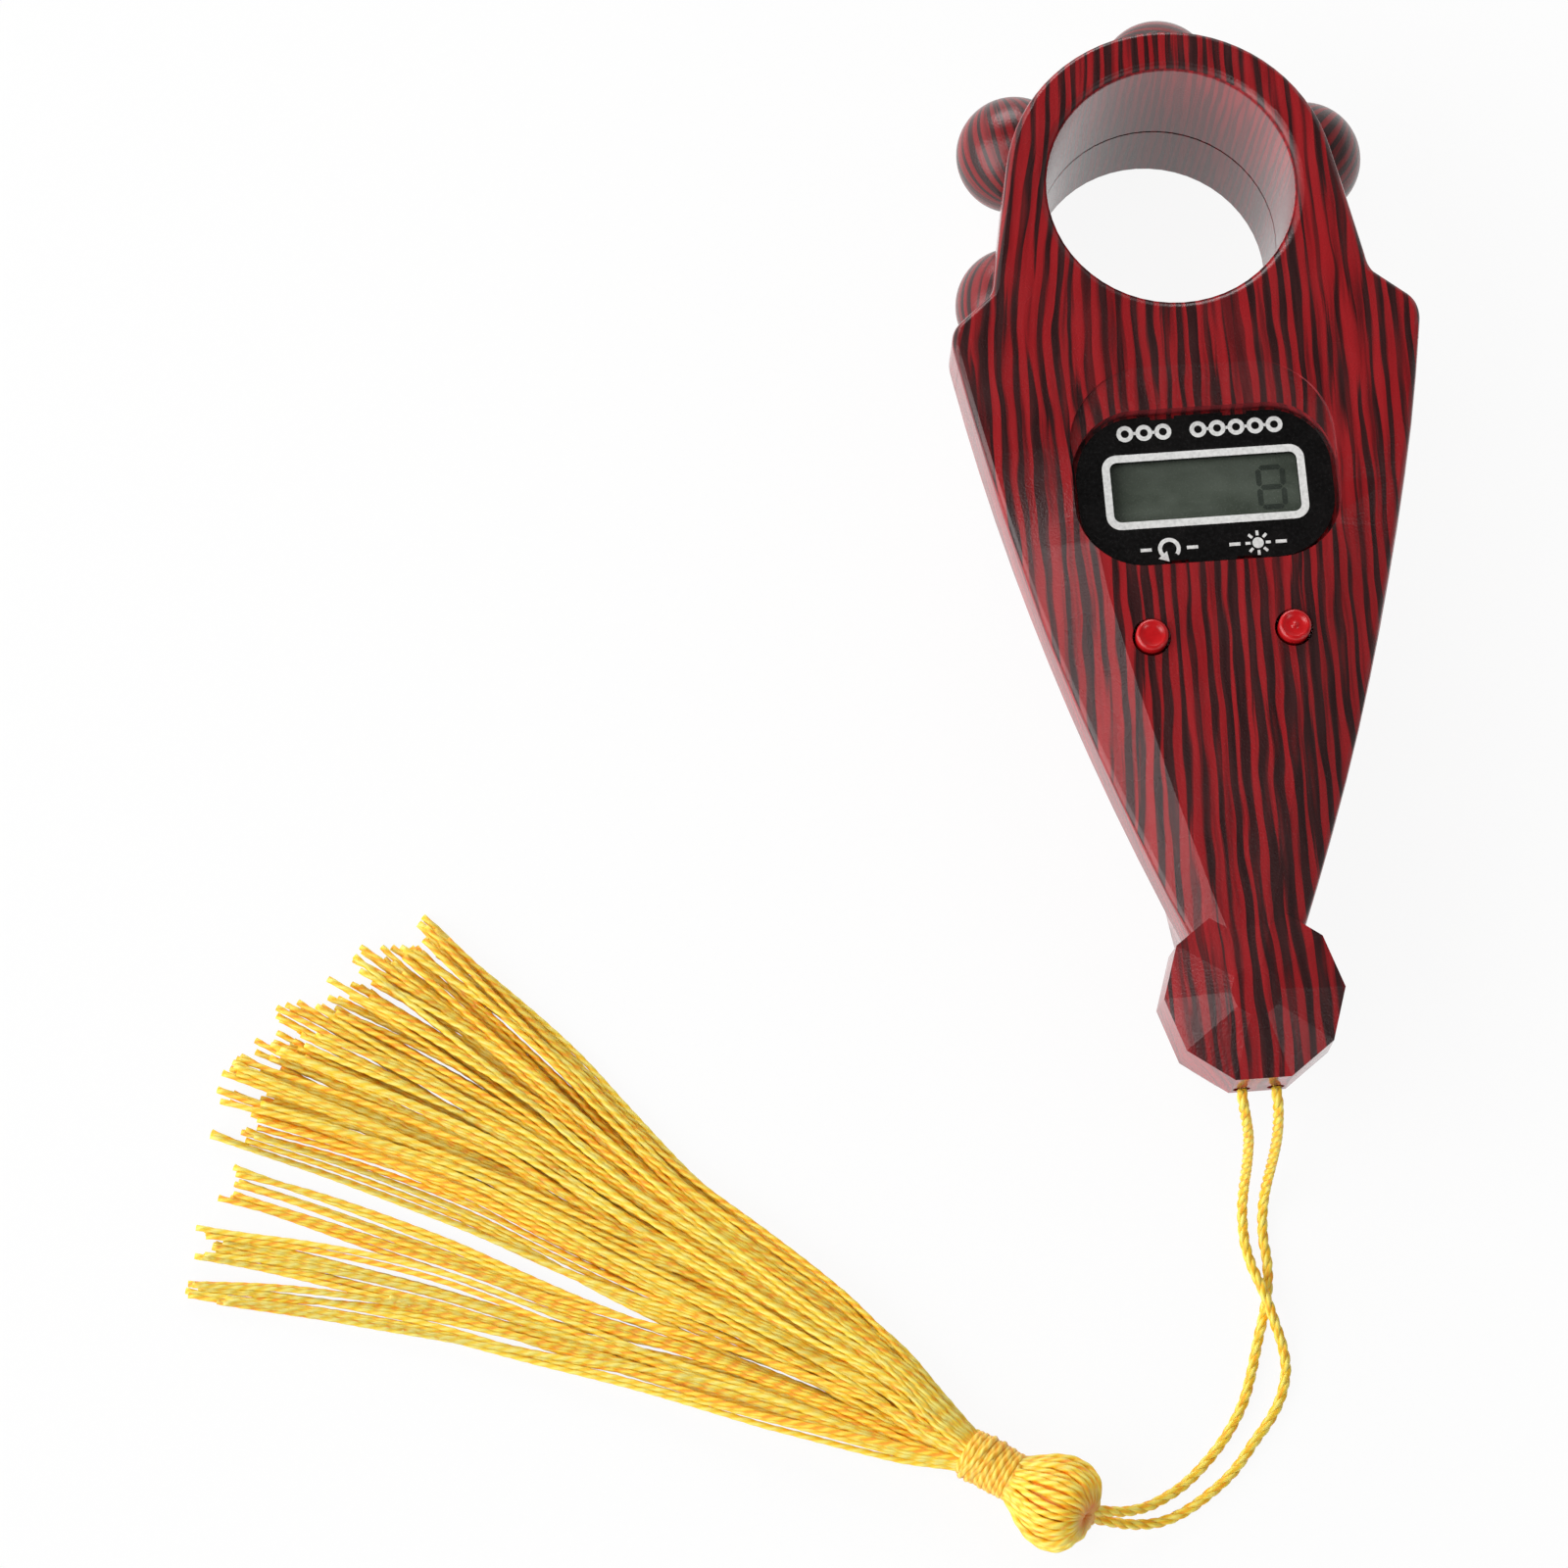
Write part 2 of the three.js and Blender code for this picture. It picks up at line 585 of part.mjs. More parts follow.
function doorPlan(grow) {
  const half = BAY_HALF + DOOR_LIP + grow;
  const top = BAY_TOP_Y + DOOR_LIP + grow;
  const endHalf = BAY_HALF * 0.55 + grow;
  const end = DOOR_END_Y - grow;
  const taperY = CELL_FIRST_Y - CELL_PITCH - 2.4;
  const corner = DOOR_CORNER;
  const shape = new THREE.Shape();
  shape.moveTo(half, taperY);
  shape.absarc(half - corner, top - corner, corner, 0, Math.PI / 2, false);
  shape.absarc(-half + corner, top - corner, corner, Math.PI / 2, Math.PI, false);
  shape.lineTo(-half, taperY);
  shape.lineTo(-endHalf, end + corner);
  shape.quadraticCurveTo(-endHalf + 0.3, end, -endHalf + corner, end);
  shape.lineTo(endHalf - corner, end);
  shape.quadraticCurveTo(endHalf - 0.3, end, endHalf, end + corner);
  return shape;
}

// The back plate is narrower all round, so the front case alone gives the outline

function rearPlate() {
  const ring = RING_RADIUS - REAR_RING_INSET;
  const side = SHOULDER_HALF - REAR_INSET_SHOULDER;
  const low = SHOULDER_Y - PLATE_OVERLAP;
  const shape = new THREE.Shape();
  shape.moveTo(rearHalf(low), low);
  shape.lineTo(side, SHOULDER_Y);
  shape.lineTo(side - 1.0, SHOULDER_Y + 1.4);
  shape.lineTo(ring + 0.2, NOTCH_Y - 1.6);
  shape.absarc(0, 0, ring, 0, Math.PI, false);
  shape.lineTo(-ring - 0.2, NOTCH_Y - 1.6);
  shape.lineTo(-side + 1.0, SHOULDER_Y + 1.4);
  shape.lineTo(-side, SHOULDER_Y);
  shape.lineTo(-rearHalf(low), low);
  return shape;
}

function rearCase() {
  const body = cut(
    loft(stations(SHOULDER_Y + 0.8, THROAT_Y - 1.0, 12).map(rearSection)),
    cylinder(CHAMBER_RADIUS, REAR_PLATE, CASE_DEPTH, 0, 0, RING_FACETS));
  const plate = prism(rearPlate(), 0, REAR_PLATE + EDGE_ROUND, EDGE_ROUND, RING_ROUNDNESS)
    .trimByPlane([0, 0, -1], -REAR_PLATE);
  const collar = cylinder(COLLAR_RADIUS, REAR_PLATE - 1, COLLAR_SPLIT_Z - SEAT, 0, 0, RING_FACETS);
  const shell = join(body, plate, rearKnob(0, 0), collar);
  const inside = cavity(
    (y) => halfWidth(y) - SEAT - REAR_WALL, (y) => rearHalf(y) - REAR_WALL,
    REAR_WALL, REAR_TOP_Z + 0.01, CAVITY_END_Y);
  const groove = tube(COLLAR_RADIUS, GROOVE_RADIUS, WASHER_Z - SEAT, REAR_PLATE + 1);
  const hollow = cut(shell, inside, rearKnob(KNOB_WALL, REAR_WALL), groove);
  const tray = prism(bayPlan(BAY_WALL), 0.4, TRAY_TOP_Z);
  const doorPost = cylinder(BOSS_RADIUS, 0.4, TRAY_TOP_Z, 0, DOOR_SCREW_Y);
  const posts = CASE_SCREWS.map(([x, y]) => cylinder(BOSS_RADIUS + 0.2, 0.9, POST_TOP_Z, x, y));
  const screwWays = CASE_SCREWS.flatMap(([x, y]) => [
    cylinder(SCREW_HEAD_RADIUS + SEAT, -1, SCREW_HEAD_Z + SCREW_HEAD + SEAT, x, y),
    cylinder(PILOT_RADIUS, 0, POST_TOP_Z + 1, x, y),
  ]);
  const contactSlots = [CELL_FIRST_Y, CELL_FIRST_Y - CELL_PITCH].map((y) => block(
    TAB_WIDTH + 2 * SEAT, LEAF + 2 * SEAT, BAY_CEILING_Z - 0.5, TRAY_TOP_Z + 1, TAB_X, y));
  return cut(
    join(hollow, tray, doorPost, ...posts),
    ...screwWays,
    ...contactSlots,
    prism(bayPlan(0), -1, BAY_CEILING_Z),
    prism(doorPlan(SEAT), -1, DOOR_TOP_Z + SEAT),
    cylinder(PILOT_RADIUS, 0, TRAY_TOP_Z - 1, 0, DOOR_SCREW_Y),
    boreCutter());
}

function batteryDoor() {
  const head = cylinder(SCREW_HEAD_RADIUS + SEAT, -1, DOOR_RECESS + 0.85, 0, DOOR_SCREW_Y);
  const hole = cylinder(PILOT_RADIUS, -1, DOOR_TOP_Z + 1, 0, DOOR_SCREW_Y);
  return cut(prism(doorPlan(0), DOOR_RECESS, DOOR_TOP_Z), head, hole);
}

// Fasteners: a cross-slotted pan head on a plain shank

function screw(x, y, z, head, length, direction = 1) {
  const low = direction > 0 ? z : z - head;
  const tip = direction * length;
  const body = join(
    cylinder(SCREW_HEAD_RADIUS, low, low + head, x, y),
    cylinder(SCREW_RADIUS, Math.min(z, z + tip), Math.max(z, z + tip), x, y, 12));
  const slotLow = low - 1;
  const slotTop = low + head * 0.4;
  return cut(
    body,
    block(SCREW_HEAD_RADIUS * 1.2, 0.45, slotLow, slotTop, x, y),
    block(0.45, SCREW_HEAD_RADIUS * 1.2, slotLow, slotTop, x, y));
}

const caseScrew = ([x, y]) => screw(x, y, SCREW_HEAD_Z, SCREW_HEAD, SCREW_HEAD + CASE_SCREW_LENGTH);
const boardScrew = ([x, y]) => screw(
  x, y, BOARD_Z - SEAT - SCREW_HEAD, SCREW_HEAD, SCREW_HEAD + BOARD_SCREW_LENGTH);
const doorScrew = () => screw(0, DOOR_SCREW_Y, DOOR_RECESS, 0.55, TRAY_TOP_Z - 1 - DOOR_RECESS - SEAT);

// Display

function displayLabel() {
  const notches = [-LABEL_NOTCH_X, LABEL_NOTCH_X].flatMap((x) => [-1, 1].map((side) => block(
    LABEL_NOTCH_WIDTH, 2 * LABEL_NOTCH_DEPTH, POCKET_Z, LABEL_TOP_Z + 1,
    DISPLAY_X + x, DISPLAY_Y + (side * LABEL_HEIGHT) / 2)));
  return cut(
    prism(
      roundedRectangle(LABEL_WIDTH, LABEL_HEIGHT, LABEL_CORNER, DISPLAY_X, DISPLAY_Y),
      POCKET_Z + SEAT, LABEL_TOP_Z),
    prism(
      roundedRectangle(WINDOW_WIDTH, WINDOW_HEIGHT, WINDOW_CORNER, DISPLAY_X, DISPLAY_Y),
      POCKET_Z, LABEL_TOP_Z + 1),
    ...notches);
}

const ZEBRA_Y = DISPLAY_Y - LCD_HEIGHT / 2 + ZEBRA_DEPTH / 2;
const DIFFUSER_Z = BOARD_TOP_Z + LEAF + 2 * SEAT;

const lcdPanel = () => block(LCD_WIDTH, LCD_HEIGHT, LCD_Z, LCD_TOP_Z, DISPLAY_X, DISPLAY_Y);
const zebraStrip = () => block(
  LCD_WIDTH - 1, ZEBRA_DEPTH, BOARD_TOP_Z + SEAT, LCD_Z - SEAT, DISPLAY_X, ZEBRA_Y);

function lcdHolder() {
  const [width, height] = HOLDER_INNER;
  const outer = block(
    width + 2 * HOLDER_WALL, height + HOLDER_WALL, BOARD_TOP_Z + SEAT, CEILING_Z - SEAT,
    DISPLAY_X, DISPLAY_Y - HOLDER_WALL / 2);
  return cut(outer, block(
    width, height + HOLDER_WALL, BOARD_TOP_Z - 1, LCD_TOP_Z + 1, DISPLAY_X, DISPLAY_Y + HOLDER_WALL / 2));
}

function backlightDiffuser() {
  const width = LCD_WIDTH - LED_WIDTH - 3 * SEAT;
  const depth = LCD_HEIGHT - ZEBRA_DEPTH - WIPER_FOOT - SEAT;
  return block(
    width, depth, DIFFUSER_Z, LCD_Z - SEAT,
    DISPLAY_X - (LCD_WIDTH - width) / 2, ZEBRA_Y + ZEBRA_DEPTH / 2 + SEAT + depth / 2);
}

const backlightLed = () => block(
  LED_WIDTH, LED_DEPTH, BOARD_TOP_Z + SEAT, LCD_Z - SEAT,
  DISPLAY_X + (LCD_WIDTH - LED_WIDTH) / 2 - SEAT, DISPLAY_Y + SEAT);

// Circuit board and what is on it

function circuitBoard() {
  const shape = new THREE.Shape([
    new THREE.Vector2(BOARD_TOP_HALF, BOARD_TOP_Y),
    new THREE.Vector2(-BOARD_TOP_HALF, BOARD_TOP_Y),
    new THREE.Vector2(-BOARD_TOP_HALF, BUTTON_Y),
    new THREE.Vector2(-BOARD_BOTTOM_HALF, BOARD_BOTTOM_Y),
    new THREE.Vector2(BOARD_BOTTOM_HALF, BOARD_BOTTOM_Y),
    new THREE.Vector2(BOARD_TOP_HALF, BUTTON_Y),
  ]);
  const holes = BOARD_SCREWS.map(([x, y]) => cylinder(PILOT_RADIUS, BOARD_Z - 1, BOARD_TOP_Z + 1, x, y));
  const chamber = cylinder(CHAMBER_WALL_RADIUS + SEAT, BOARD_Z - 1, BOARD_TOP_Z + 1, 0, 0, RING_FACETS);
  return cut(prism(shape, BOARD_Z, BOARD_TOP_Z), ...holes, chamber);
}

const counterChip = () => revolve([
  [0, BOARD_TOP_Z + SEAT],
  [CHIP_RADIUS, BOARD_TOP_Z + SEAT],
  [CHIP_RADIUS * 0.85, BOARD_TOP_Z + SEAT + 0.7],
  [CHIP_RADIUS * 0.45, BOARD_TOP_Z + SEAT + 1.1],
  [0, BOARD_TOP_Z + SEAT + 1.2],
], 0, CHIP_Y);

function switchHousing(x) {
  const floor = SWITCH_TOP_Z - BUTTON_TRAVEL - 1.5;
  return cut(
    block(SWITCH_SIZE, SWITCH_SIZE, BOARD_TOP_Z + SEAT, SWITCH_TOP_Z, x, BUTTON_Y),
    cylinder(PLUNGER_RADIUS + SEAT, floor, SWITCH_TOP_Z + 1, x, BUTTON_Y));
}

const switchPlunger = (x) => cylinder(
  PLUNGER_RADIUS, SWITCH_TOP_Z - 1.1, PLUNGER_TOP_Z, x, BUTTON_Y);

function buttonCap(x) {
  const top = CASE_DEPTH + BUTTON_PROUD;
  return revolve([
    [0, BUTTON_FLANGE_Z],
    [BUTTON_FLANGE_RADIUS, BUTTON_FLANGE_Z],
    [BUTTON_FLANGE_RADIUS, BUTTON_FLANGE_Z + BUTTON_FLANGE],
    [BUTTON_RADIUS, BUTTON_FLANGE_Z + BUTTON_FLANGE],
    [BUTTON_RADIUS, top - BUTTON_RIM],
    [BUTTON_RADIUS - 0.3 * BUTTON_RIM, top - 0.3 * BUTTON_RIM],
    [BUTTON_RADIUS - BUTTON_RIM, top],
    [BUTTON_RADIUS - BUTTON_RIM - BUTTON_DISH, top - BUTTON_DISH],
    [0, top - BUTTON_DISH],
  ], x, BUTTON_Y, 28);
}

function wiperContacts() {
  const tip = -(HUB_INNER + 0.35);
  const heel = BOARD_TOP_Y - 0.15;
  const foot = BOARD_TOP_Z + SEAT;
  const leaf = new THREE.Shape([
    new THREE.Vector2(tip, WIPER_Z),
    new THREE.Vector2(tip, WIPER_Z + LEAF),
    new THREE.Vector2(heel - LEAF, WIPER_Z + LEAF),
    new THREE.Vector2(heel - LEAF, foot + LEAF),
    new THREE.Vector2(heel - WIPER_FOOT, foot + LEAF),
    new THREE.Vector2(heel - WIPER_FOOT, foot),
    new THREE.Vector2(heel, foot),
    new THREE.Vector2(heel, WIPER_Z),
  ]);
  const bar = block(2 * WIPER_X, 0.8, foot, foot + LEAF, 0, heel - WIPER_FOOT + 0.4);
  return join(alongX(leaf, -WIPER_X, WIPER_WIDTH), alongX(leaf, WIPER_X, WIPER_WIDTH), bar);
}

// Batteries

const PLATE_SIZE = 7.2;
const TAB_WIDTH = 2.4;
const TAB_X = 4.6;
const TAB_TOP_Z = BOARD_Z - 2.6;

const batteryCell = (y) => join(
  cylinder(CELL_RADIUS, CELL_Z, CELL_Z + CELL_HEIGHT - CELL_CAP, 0, y, 32),
  cylinder(CELL_RADIUS - CELL_CAP, CELL_Z + CELL_HEIGHT / 2, CELL_Z + CELL_HEIGHT, 0, y, 32));

function batteryContact(y) {
  return join(
    block(PLATE_SIZE, PLATE_SIZE, CONTACT_Z, CONTACT_Z + LEAF, TAB_X + (TAB_WIDTH - PLATE_SIZE) / 2, y),
    block(TAB_WIDTH, LEAF, CONTACT_Z, TAB_TOP_Z, TAB_X, y));
}

const batteryLink = () => block(
  CELL_RADIUS, CELL_PITCH + CELL_RADIUS, LINK_Z, LINK_Z + LEAF, 0, CELL_FIRST_Y - CELL_PITCH / 2);

// Round section swept along a smooth open route

function sweep(points, radius, sides, steps) {
  const ring = new THREE.Shape();
  for (let i = 0; i < sides; i++) {
    const [x, y] = polar(radius, (2 * Math.PI * i) / sides);
    if (i === 0) ring.moveTo(x, y);
    else ring.lineTo(x, y);
  }
  const path = new THREE.CatmullRomCurve3(points.map((p) => new THREE.Vector3(...p)), false, 'centripetal');
  return upright(new THREE.ExtrudeGeometry(ring, { steps, bevelEnabled: false, extrudePath: path }));
}

const batteryWire = (y, boardY) => sweep([
  [TAB_X, y, TAB_TOP_Z + SEAT],
  [TAB_X + 0.1, y - 0.2, TAB_TOP_Z + 1.0],
  [TAB_X + 0.2, boardY, BOARD_Z - 1.0],
  [TAB_X + 0.2, boardY, BOARD_Z - SEAT],
], 0.4, 6, 8);

// Bead wheel

function wheelHub() {
  const outer = HUB_INNER + HUB_WALL;
  const crown = HUB_INNER + CROWN_WALL;
  const ring = revolve([
    [HUB_INNER, CROWN_BOTTOM_Z],
    [crown, CROWN_BOTTOM_Z],
    [crown, REAR_PLATE + 2 * SEAT],
    [outer, REAR_PLATE + 2 * SEAT],
    [outer, PARTING_Z - 2 * SEAT],
    [crown, PARTING_Z - 2 * SEAT],
    [crown, CROWN_TOP_Z],
    [HUB_INNER, CROWN_TOP_Z],
  ], 0, 0, HUB_FACETS, THREE.MathUtils.degToRad(FIRST_BEAD_ANGLE + 90));
  const pegHoles = beadAngles().map((angle) => radial(PEG_RADIUS + SEAT, HUB_INNER - 1, outer + 1, angle, 12));
  return cut(ring, ...pegHoles);
}

function beadAngles() {
  return Array.from({ length: BEAD_COUNT }, (_, i) => (
    THREE.MathUtils.degToRad(FIRST_BEAD_ANGLE + (360 / BEAD_COUNT) * i)));
}

function radial(radius, from, to, angle, facets) {
  const geometry = new THREE.CylinderGeometry(radius, radius, to - from, facets);
  geometry.rotateY(Math.PI / facets);
  geometry.rotateZ(-Math.PI / 2);
  geometry.translate((from + to) / 2, 0, BEAD_Z);
  geometry.rotateZ(angle);
  return solid(geometry);
}

function bead(angle) {
  const seat = HUB_INNER + HUB_WALL + SEAT;
  const ball = new THREE.SphereGeometry(BEAD_RADIUS, 22, 13);
  ball.translate(BEAD_CIRCLE_RADIUS, 0, BEAD_Z);
  ball.rotateZ(angle);
  return join(
    cut(solid(ball), cylinder(seat, 0, CASE_DEPTH, 0, 0, HUB_FACETS)),
    radial(PEG_RADIUS, seat - PEG_LENGTH, seat + 1, angle, 14));
}

function contactRing() {
  const middle = HUB_INNER + CROWN_WALL / 2;
  const shape = new THREE.Shape();
  const points = 48;
  for (let i = 0; i < points; i++) {
    const lobe = Math.cos((BEAD_COUNT * 2 * Math.PI * i) / points) > 0 ? CONTACT_RING_LOBE : 0.1;
    const [x, y] = polar(middle + lobe, (2 * Math.PI * i) / points);
    if (i === 0) shape.moveTo(x, y);
    else shape.lineTo(x, y);
  }
  shape.holes.push(new THREE.Path().absarc(0, 0, HUB_INNER + 0.05, 0, 2 * Math.PI, true));
  const geometry = new THREE.ExtrudeGeometry(shape, {
    depth: CONTACT_RING_THICKNESS, bevelEnabled: false, curveSegments: HUB_FACETS,
  });
  geometry.translate(0, 0, CONTACT_RING_Z);
  return solid(geometry);
}

const slipWasher = () => tube(
  HUB_INNER, HUB_INNER + CROWN_WALL, WASHER_Z, WASHER_Z + WASHER_THICKNESS, HUB_FACETS);

// Cord: a bight round the knob's screw boss, and two free legs that lie down to the tassel

const HOLE_MOUTH_Y = KNOB_Y - (KNOB_RADIUS + KNOB_DRAFT) * Math.cos(Math.PI / KNOB_SIDES);
const BIGHT_RADIUS = BOSS_RADIUS + CORD_RADIUS + SEAT + 0.1;

function cordBight() {
  const start = [CORD_HOLE_X, HOLE_MOUTH_Y + SEAT, CORD_Z];
  const right = [
    start,
    [CORD_HOLE_X, HOLE_MOUTH_Y + KNOB_WALL, CORD_Z],
    [BIGHT_RADIUS - 0.3, KNOB_Y - 2.0, CORD_Z],
    [BIGHT_RADIUS, KNOB_Y, CORD_Z],
    [BIGHT_RADIUS * 0.72, KNOB_Y + BIGHT_RADIUS * 0.72, CORD_Z],
  ];
  const left = right.map(([x, y, z]) => [-x, y, z]).reverse();
  return sweep([...right, [0, KNOB_Y + BIGHT_RADIUS, CORD_Z], ...left], CORD_RADIUS, 8, 30);
}

const LEFT_LEG = [
  [-CORD_HOLE_X, HOLE_MOUTH_Y, CORD_Z],
  [-1.55, -92.7, 20.2],
  [-1.1, -94.0, 17.8],
  [-0.6, -95.0, 14.4],
  [-0.3, -95.9, 10.8],
  [-0.1, -96.8, 7.2],
  [-0.05, -97.8, 4.2],
  [-0.1, -99.0, 2.1],
  [-0.2, -100.6, 1.0],
  [-0.2, -103.3, 0.6],
  [0.2, -105.8, 0.9],
  [0.85, -108.1, 1.7],
  [1.35, -110.0, 2.1],
  [1.85, -111.9, 1.7],
  [2.45, -114.1, 0.9],
  [2.6, -116.4, 0.6],
  [1.9, -118.9, 0.6],
  [0.6, -121.1, 0.6],
  [-1.2, -123.2, 0.6],
  [-3.7, -126.1, 0.6],
  [-6.6, -128.3, 0.6],
  [-9.3, -129.8, 0.6],
  [-11.8, -130.5, 0.8],
  [-14.4, -130.5, 1.6],
  [-16.2, -130.2, 2.4],
  [-17.6, -129.9, 2.9],
];

const RIGHT_LEG = [
  [CORD_HOLE_X, HOLE_MOUTH_Y, CORD_Z],
  [1.8, -92.8, 20.2],
  [2.0, -94.1, 17.8],
  [2.2, -95.2, 14.4],
  [2.3, -96.1, 10.8],
  [2.3, -97.0, 7.2],
  [2.2, -98.0, 4.2],
  [2.0, -99.3, 2.1],
  [1.8, -101.0, 1.0],
  [1.7, -103.2, 0.6],
  [1.85, -105.7, 0.6],
  [1.6, -108.4, 0.6],
  [1.0, -110.7, 0.6],
  [0.1, -113.4, 0.6],
  [-0.9, -116.6, 0.6],
  [-2.1, -119.6, 0.6],
  [-4.0, -122.5, 0.6],
  [-6.3, -125.0, 0.6],
  [-9.0, -127.2, 0.9],
  [-12.2, -128.8, 1.8],
  [-14.6, -129.3, 2.9],
  [-16.2, -129.3, 3.7],
  [-17.2, -129.2, 4.3],
];

const CORD_STEPS = 38;
const cordLeg = (points) => sweep(points, CORD_RADIUS, 8, CORD_STEPS);

// Tassel: a fluted head, a wound neck and a fan of threads

function tasselHead() {
  const ball = new THREE.SphereGeometry(1, 2 * HEAD_FLUTES, 12);
  const p = ball.getAttribute('position');
  const v = new THREE.Vector3();
  for (let i = 0; i < p.count; i++) {
    v.fromBufferAttribute(p, i);
    const around = Math.atan2(v.z, v.x);
    const across = Math.hypot(v.x, v.z);
    const groove = 1 - (HEAD_FLUTE_DEPTH / HEAD_RADIUS) * (0.5 - 0.5 * Math.cos(HEAD_FLUTES * around)) * across;
    p.setXYZ(i, v.x * HEAD_RADIUS * groove, v.y * HEAD_HALF_LENGTH, v.z * HEAD_RADIUS * groove);
  }
  ball.rotateZ(-Math.PI / 2);
  ball.translate(HEAD_OFFSET, 0, 0);
  return upright(ball);
}

class WrapCurve extends THREE.Curve {
  getPoint(t) {
    const length = WRAP_LOOPS * WRAP_PITCH;
    const angle = -2 * Math.PI * WRAP_LOOPS * t;
    const radius = WRAP_RADIUS - WRAP_THREAD_RADIUS;
    return new THREE.Vector3(-length / 2 + length * t, radius * Math.cos(angle), radius * Math.sin(angle));
  }
}

// The winding is one tube with 24 steps a loop, its rings set square to the tassel's axis

function tasselWrap() {
  const curve = new WrapCurve();
  const steps = 24 * WRAP_LOOPS;
  const sides = 6;
  const rings = [];
  for (let s = 0; s <= steps; s++) {
    const centre = curve.getPoint(s / steps);
    const out = new THREE.Vector3(0, centre.y, centre.z).normalize();
    rings.push(Array.from({ length: sides }, (_, i) => {
      const [along, away] = polar(WRAP_THREAD_RADIUS, (2 * Math.PI * i) / sides);
      return centre.clone().addScaledVector(out, away).add(new THREE.Vector3(along, 0, 0));
    }));
  }
  reportWrapGap(curve, steps);
  return loft(rings);
}

function reportWrapGap(curve, steps) {
  const points = stations(0, 1, steps * 2).map((t) => curve.getPoint(t));
  const apart = Math.round((steps * 2) / WRAP_LOOPS / 2);
  let least = Infinity;
  points.forEach((a, i) => points.slice(i + apart).forEach((b) => {
    least = Math.min(least, a.distanceTo(b));
  }));
  console.log(`tassel wrap, least gap to itself: ${(least - 2 * WRAP_THREAD_RADIUS).toFixed(2)} mm`);
}

// The fan lies between its two outer threads, in the frame of the whole product

const SKIRT_ROOT = WRAP_RADIUS - 2 * WRAP_THREAD_RADIUS - SEAT;
const NECK_TAIL = 1.6;             // how far the neck runs into the fan
const SKIRT_UPPER = [
  [-29.5, -120.8], [-32.6, -115.2], [-36.4, -110.2], [-47.2, -99.9], [-54.9, -92.4],
  [-60.9, -85.5], [-67.2, -77.9], [-80.2, -64.6],
];
const SKIRT_LOWER = [
  [-31.4, -123.5], [-36.2, -122.5], [-47.5, -118.0], [-60.2, -113.3], [-72.2, -109.6],
  [-83.6, -106.0], [-95.2, -103.2], [-106.0, -101.4],
];

function tasselSkirt() {
  const curve = (points) => new THREE.CatmullRomCurve3(points.map(([x, y]) => new THREE.Vector3(x, y, 0)));
  const [upper, lower] = [curve(SKIRT_UPPER), curve(SKIRT_LOWER)];
  const across = 3 * SKIRT_FLUTES;
  const rings = stations(0, 1, 10).map((s) => {
    const [a, b] = [upper.getPointAt(s), lower.getPointAt(s)];
    const forward = new THREE.Vector3().addVectors(upper.getTangentAt(s), lower.getTangentAt(s)).normalize();
    const thick = THREE.MathUtils.lerp(SKIRT_THICKNESS_START, SKIRT_THICKNESS_END, Math.sqrt(s));
    const floor = THREE.MathUtils.lerp(1.2, 0, Math.min(1, 4 * s));
    const place = (u, z) => a.clone().lerp(b, u)
      .addScaledVector(forward, SKIRT_END_BULGE * s ** 3 * Math.sin(Math.PI * u)).setZ(z);
    const top = stations(0, 1, across).map((u) => {
      const crown = 0.45 + 0.55 * Math.sqrt(Math.sin(Math.PI * THREE.MathUtils.clamp(u, 0.02, 0.98)));
      const flute = SKIRT_FLUTE_DEPTH * (0.5 - 0.5 * Math.cos(2 * Math.PI * SKIRT_FLUTES * u));
      return place(u, floor + thick * crown - flute * Math.min(1, 5 * s));
    });
    const base = stations(1, 0, across).map((u) => place(u, floor));
    return [...top, ...base];
  });
  return join(fan(rings), neckCore());
}

// A loft whose rings are a top row and a base row, so its ends close in strips

function fan(rings) {
  const count = rings[0].length;
  const half = count / 2;
  const index = [];
  for (let r = 0; r + 1 < rings.length; r++) {
    for (let i = 0; i < count; i++) {
      const j = (i + 1) % count;
      index.push(r * count + i, r * count + j, (r + 1) * count + j);
      index.push(r * count + i, (r + 1) * count + j, (r + 1) * count + i);
    }
  }
  const last = (rings.length - 1) * count;
  for (let i = 0; i + 1 < half; i++) {
    const [a, b, c, d] = [i, i + 1, count - 2 - i, count - 1 - i];
    index.push(a, c, b, a, d, c);
    index.push(last + a, last + b, last + c, last + a, last + c, last + d);
  }
  const geometry = new THREE.BufferGeometry();
  geometry.setAttribute('position', new THREE.Float32BufferAttribute(
    rings.flat().flatMap((p) => [p.x, p.y, p.z]), 3));
  geometry.setIndex(index);
  return upright(geometry);
}

const TASSEL_FRAME = new THREE.Matrix4().compose(
  WRAP_CENTRE,
  new THREE.Quaternion().setFromEuler(new THREE.Euler(
    0, -THREE.MathUtils.degToRad(TASSEL_TILT), THREE.MathUtils.degToRad(TASSEL_YAW), 'ZYX')),
  new THREE.Vector3(1, 1, 1));

function neckCore() {
  const length = HEAD_OFFSET - HEAD_HALF_LENGTH - SEAT;
  const tail = WRAP_LOOPS * WRAP_PITCH / 2 + NECK_TAIL;
  const core = new THREE.CylinderGeometry(SKIRT_ROOT, SKIRT_ROOT, length + tail, 16);
  core.rotateZ(Math.PI / 2);
  core.translate((length - tail) / 2, 0, 0);
  core.applyMatrix4(TASSEL_FRAME);
  return solid(core);
}

// Finishes

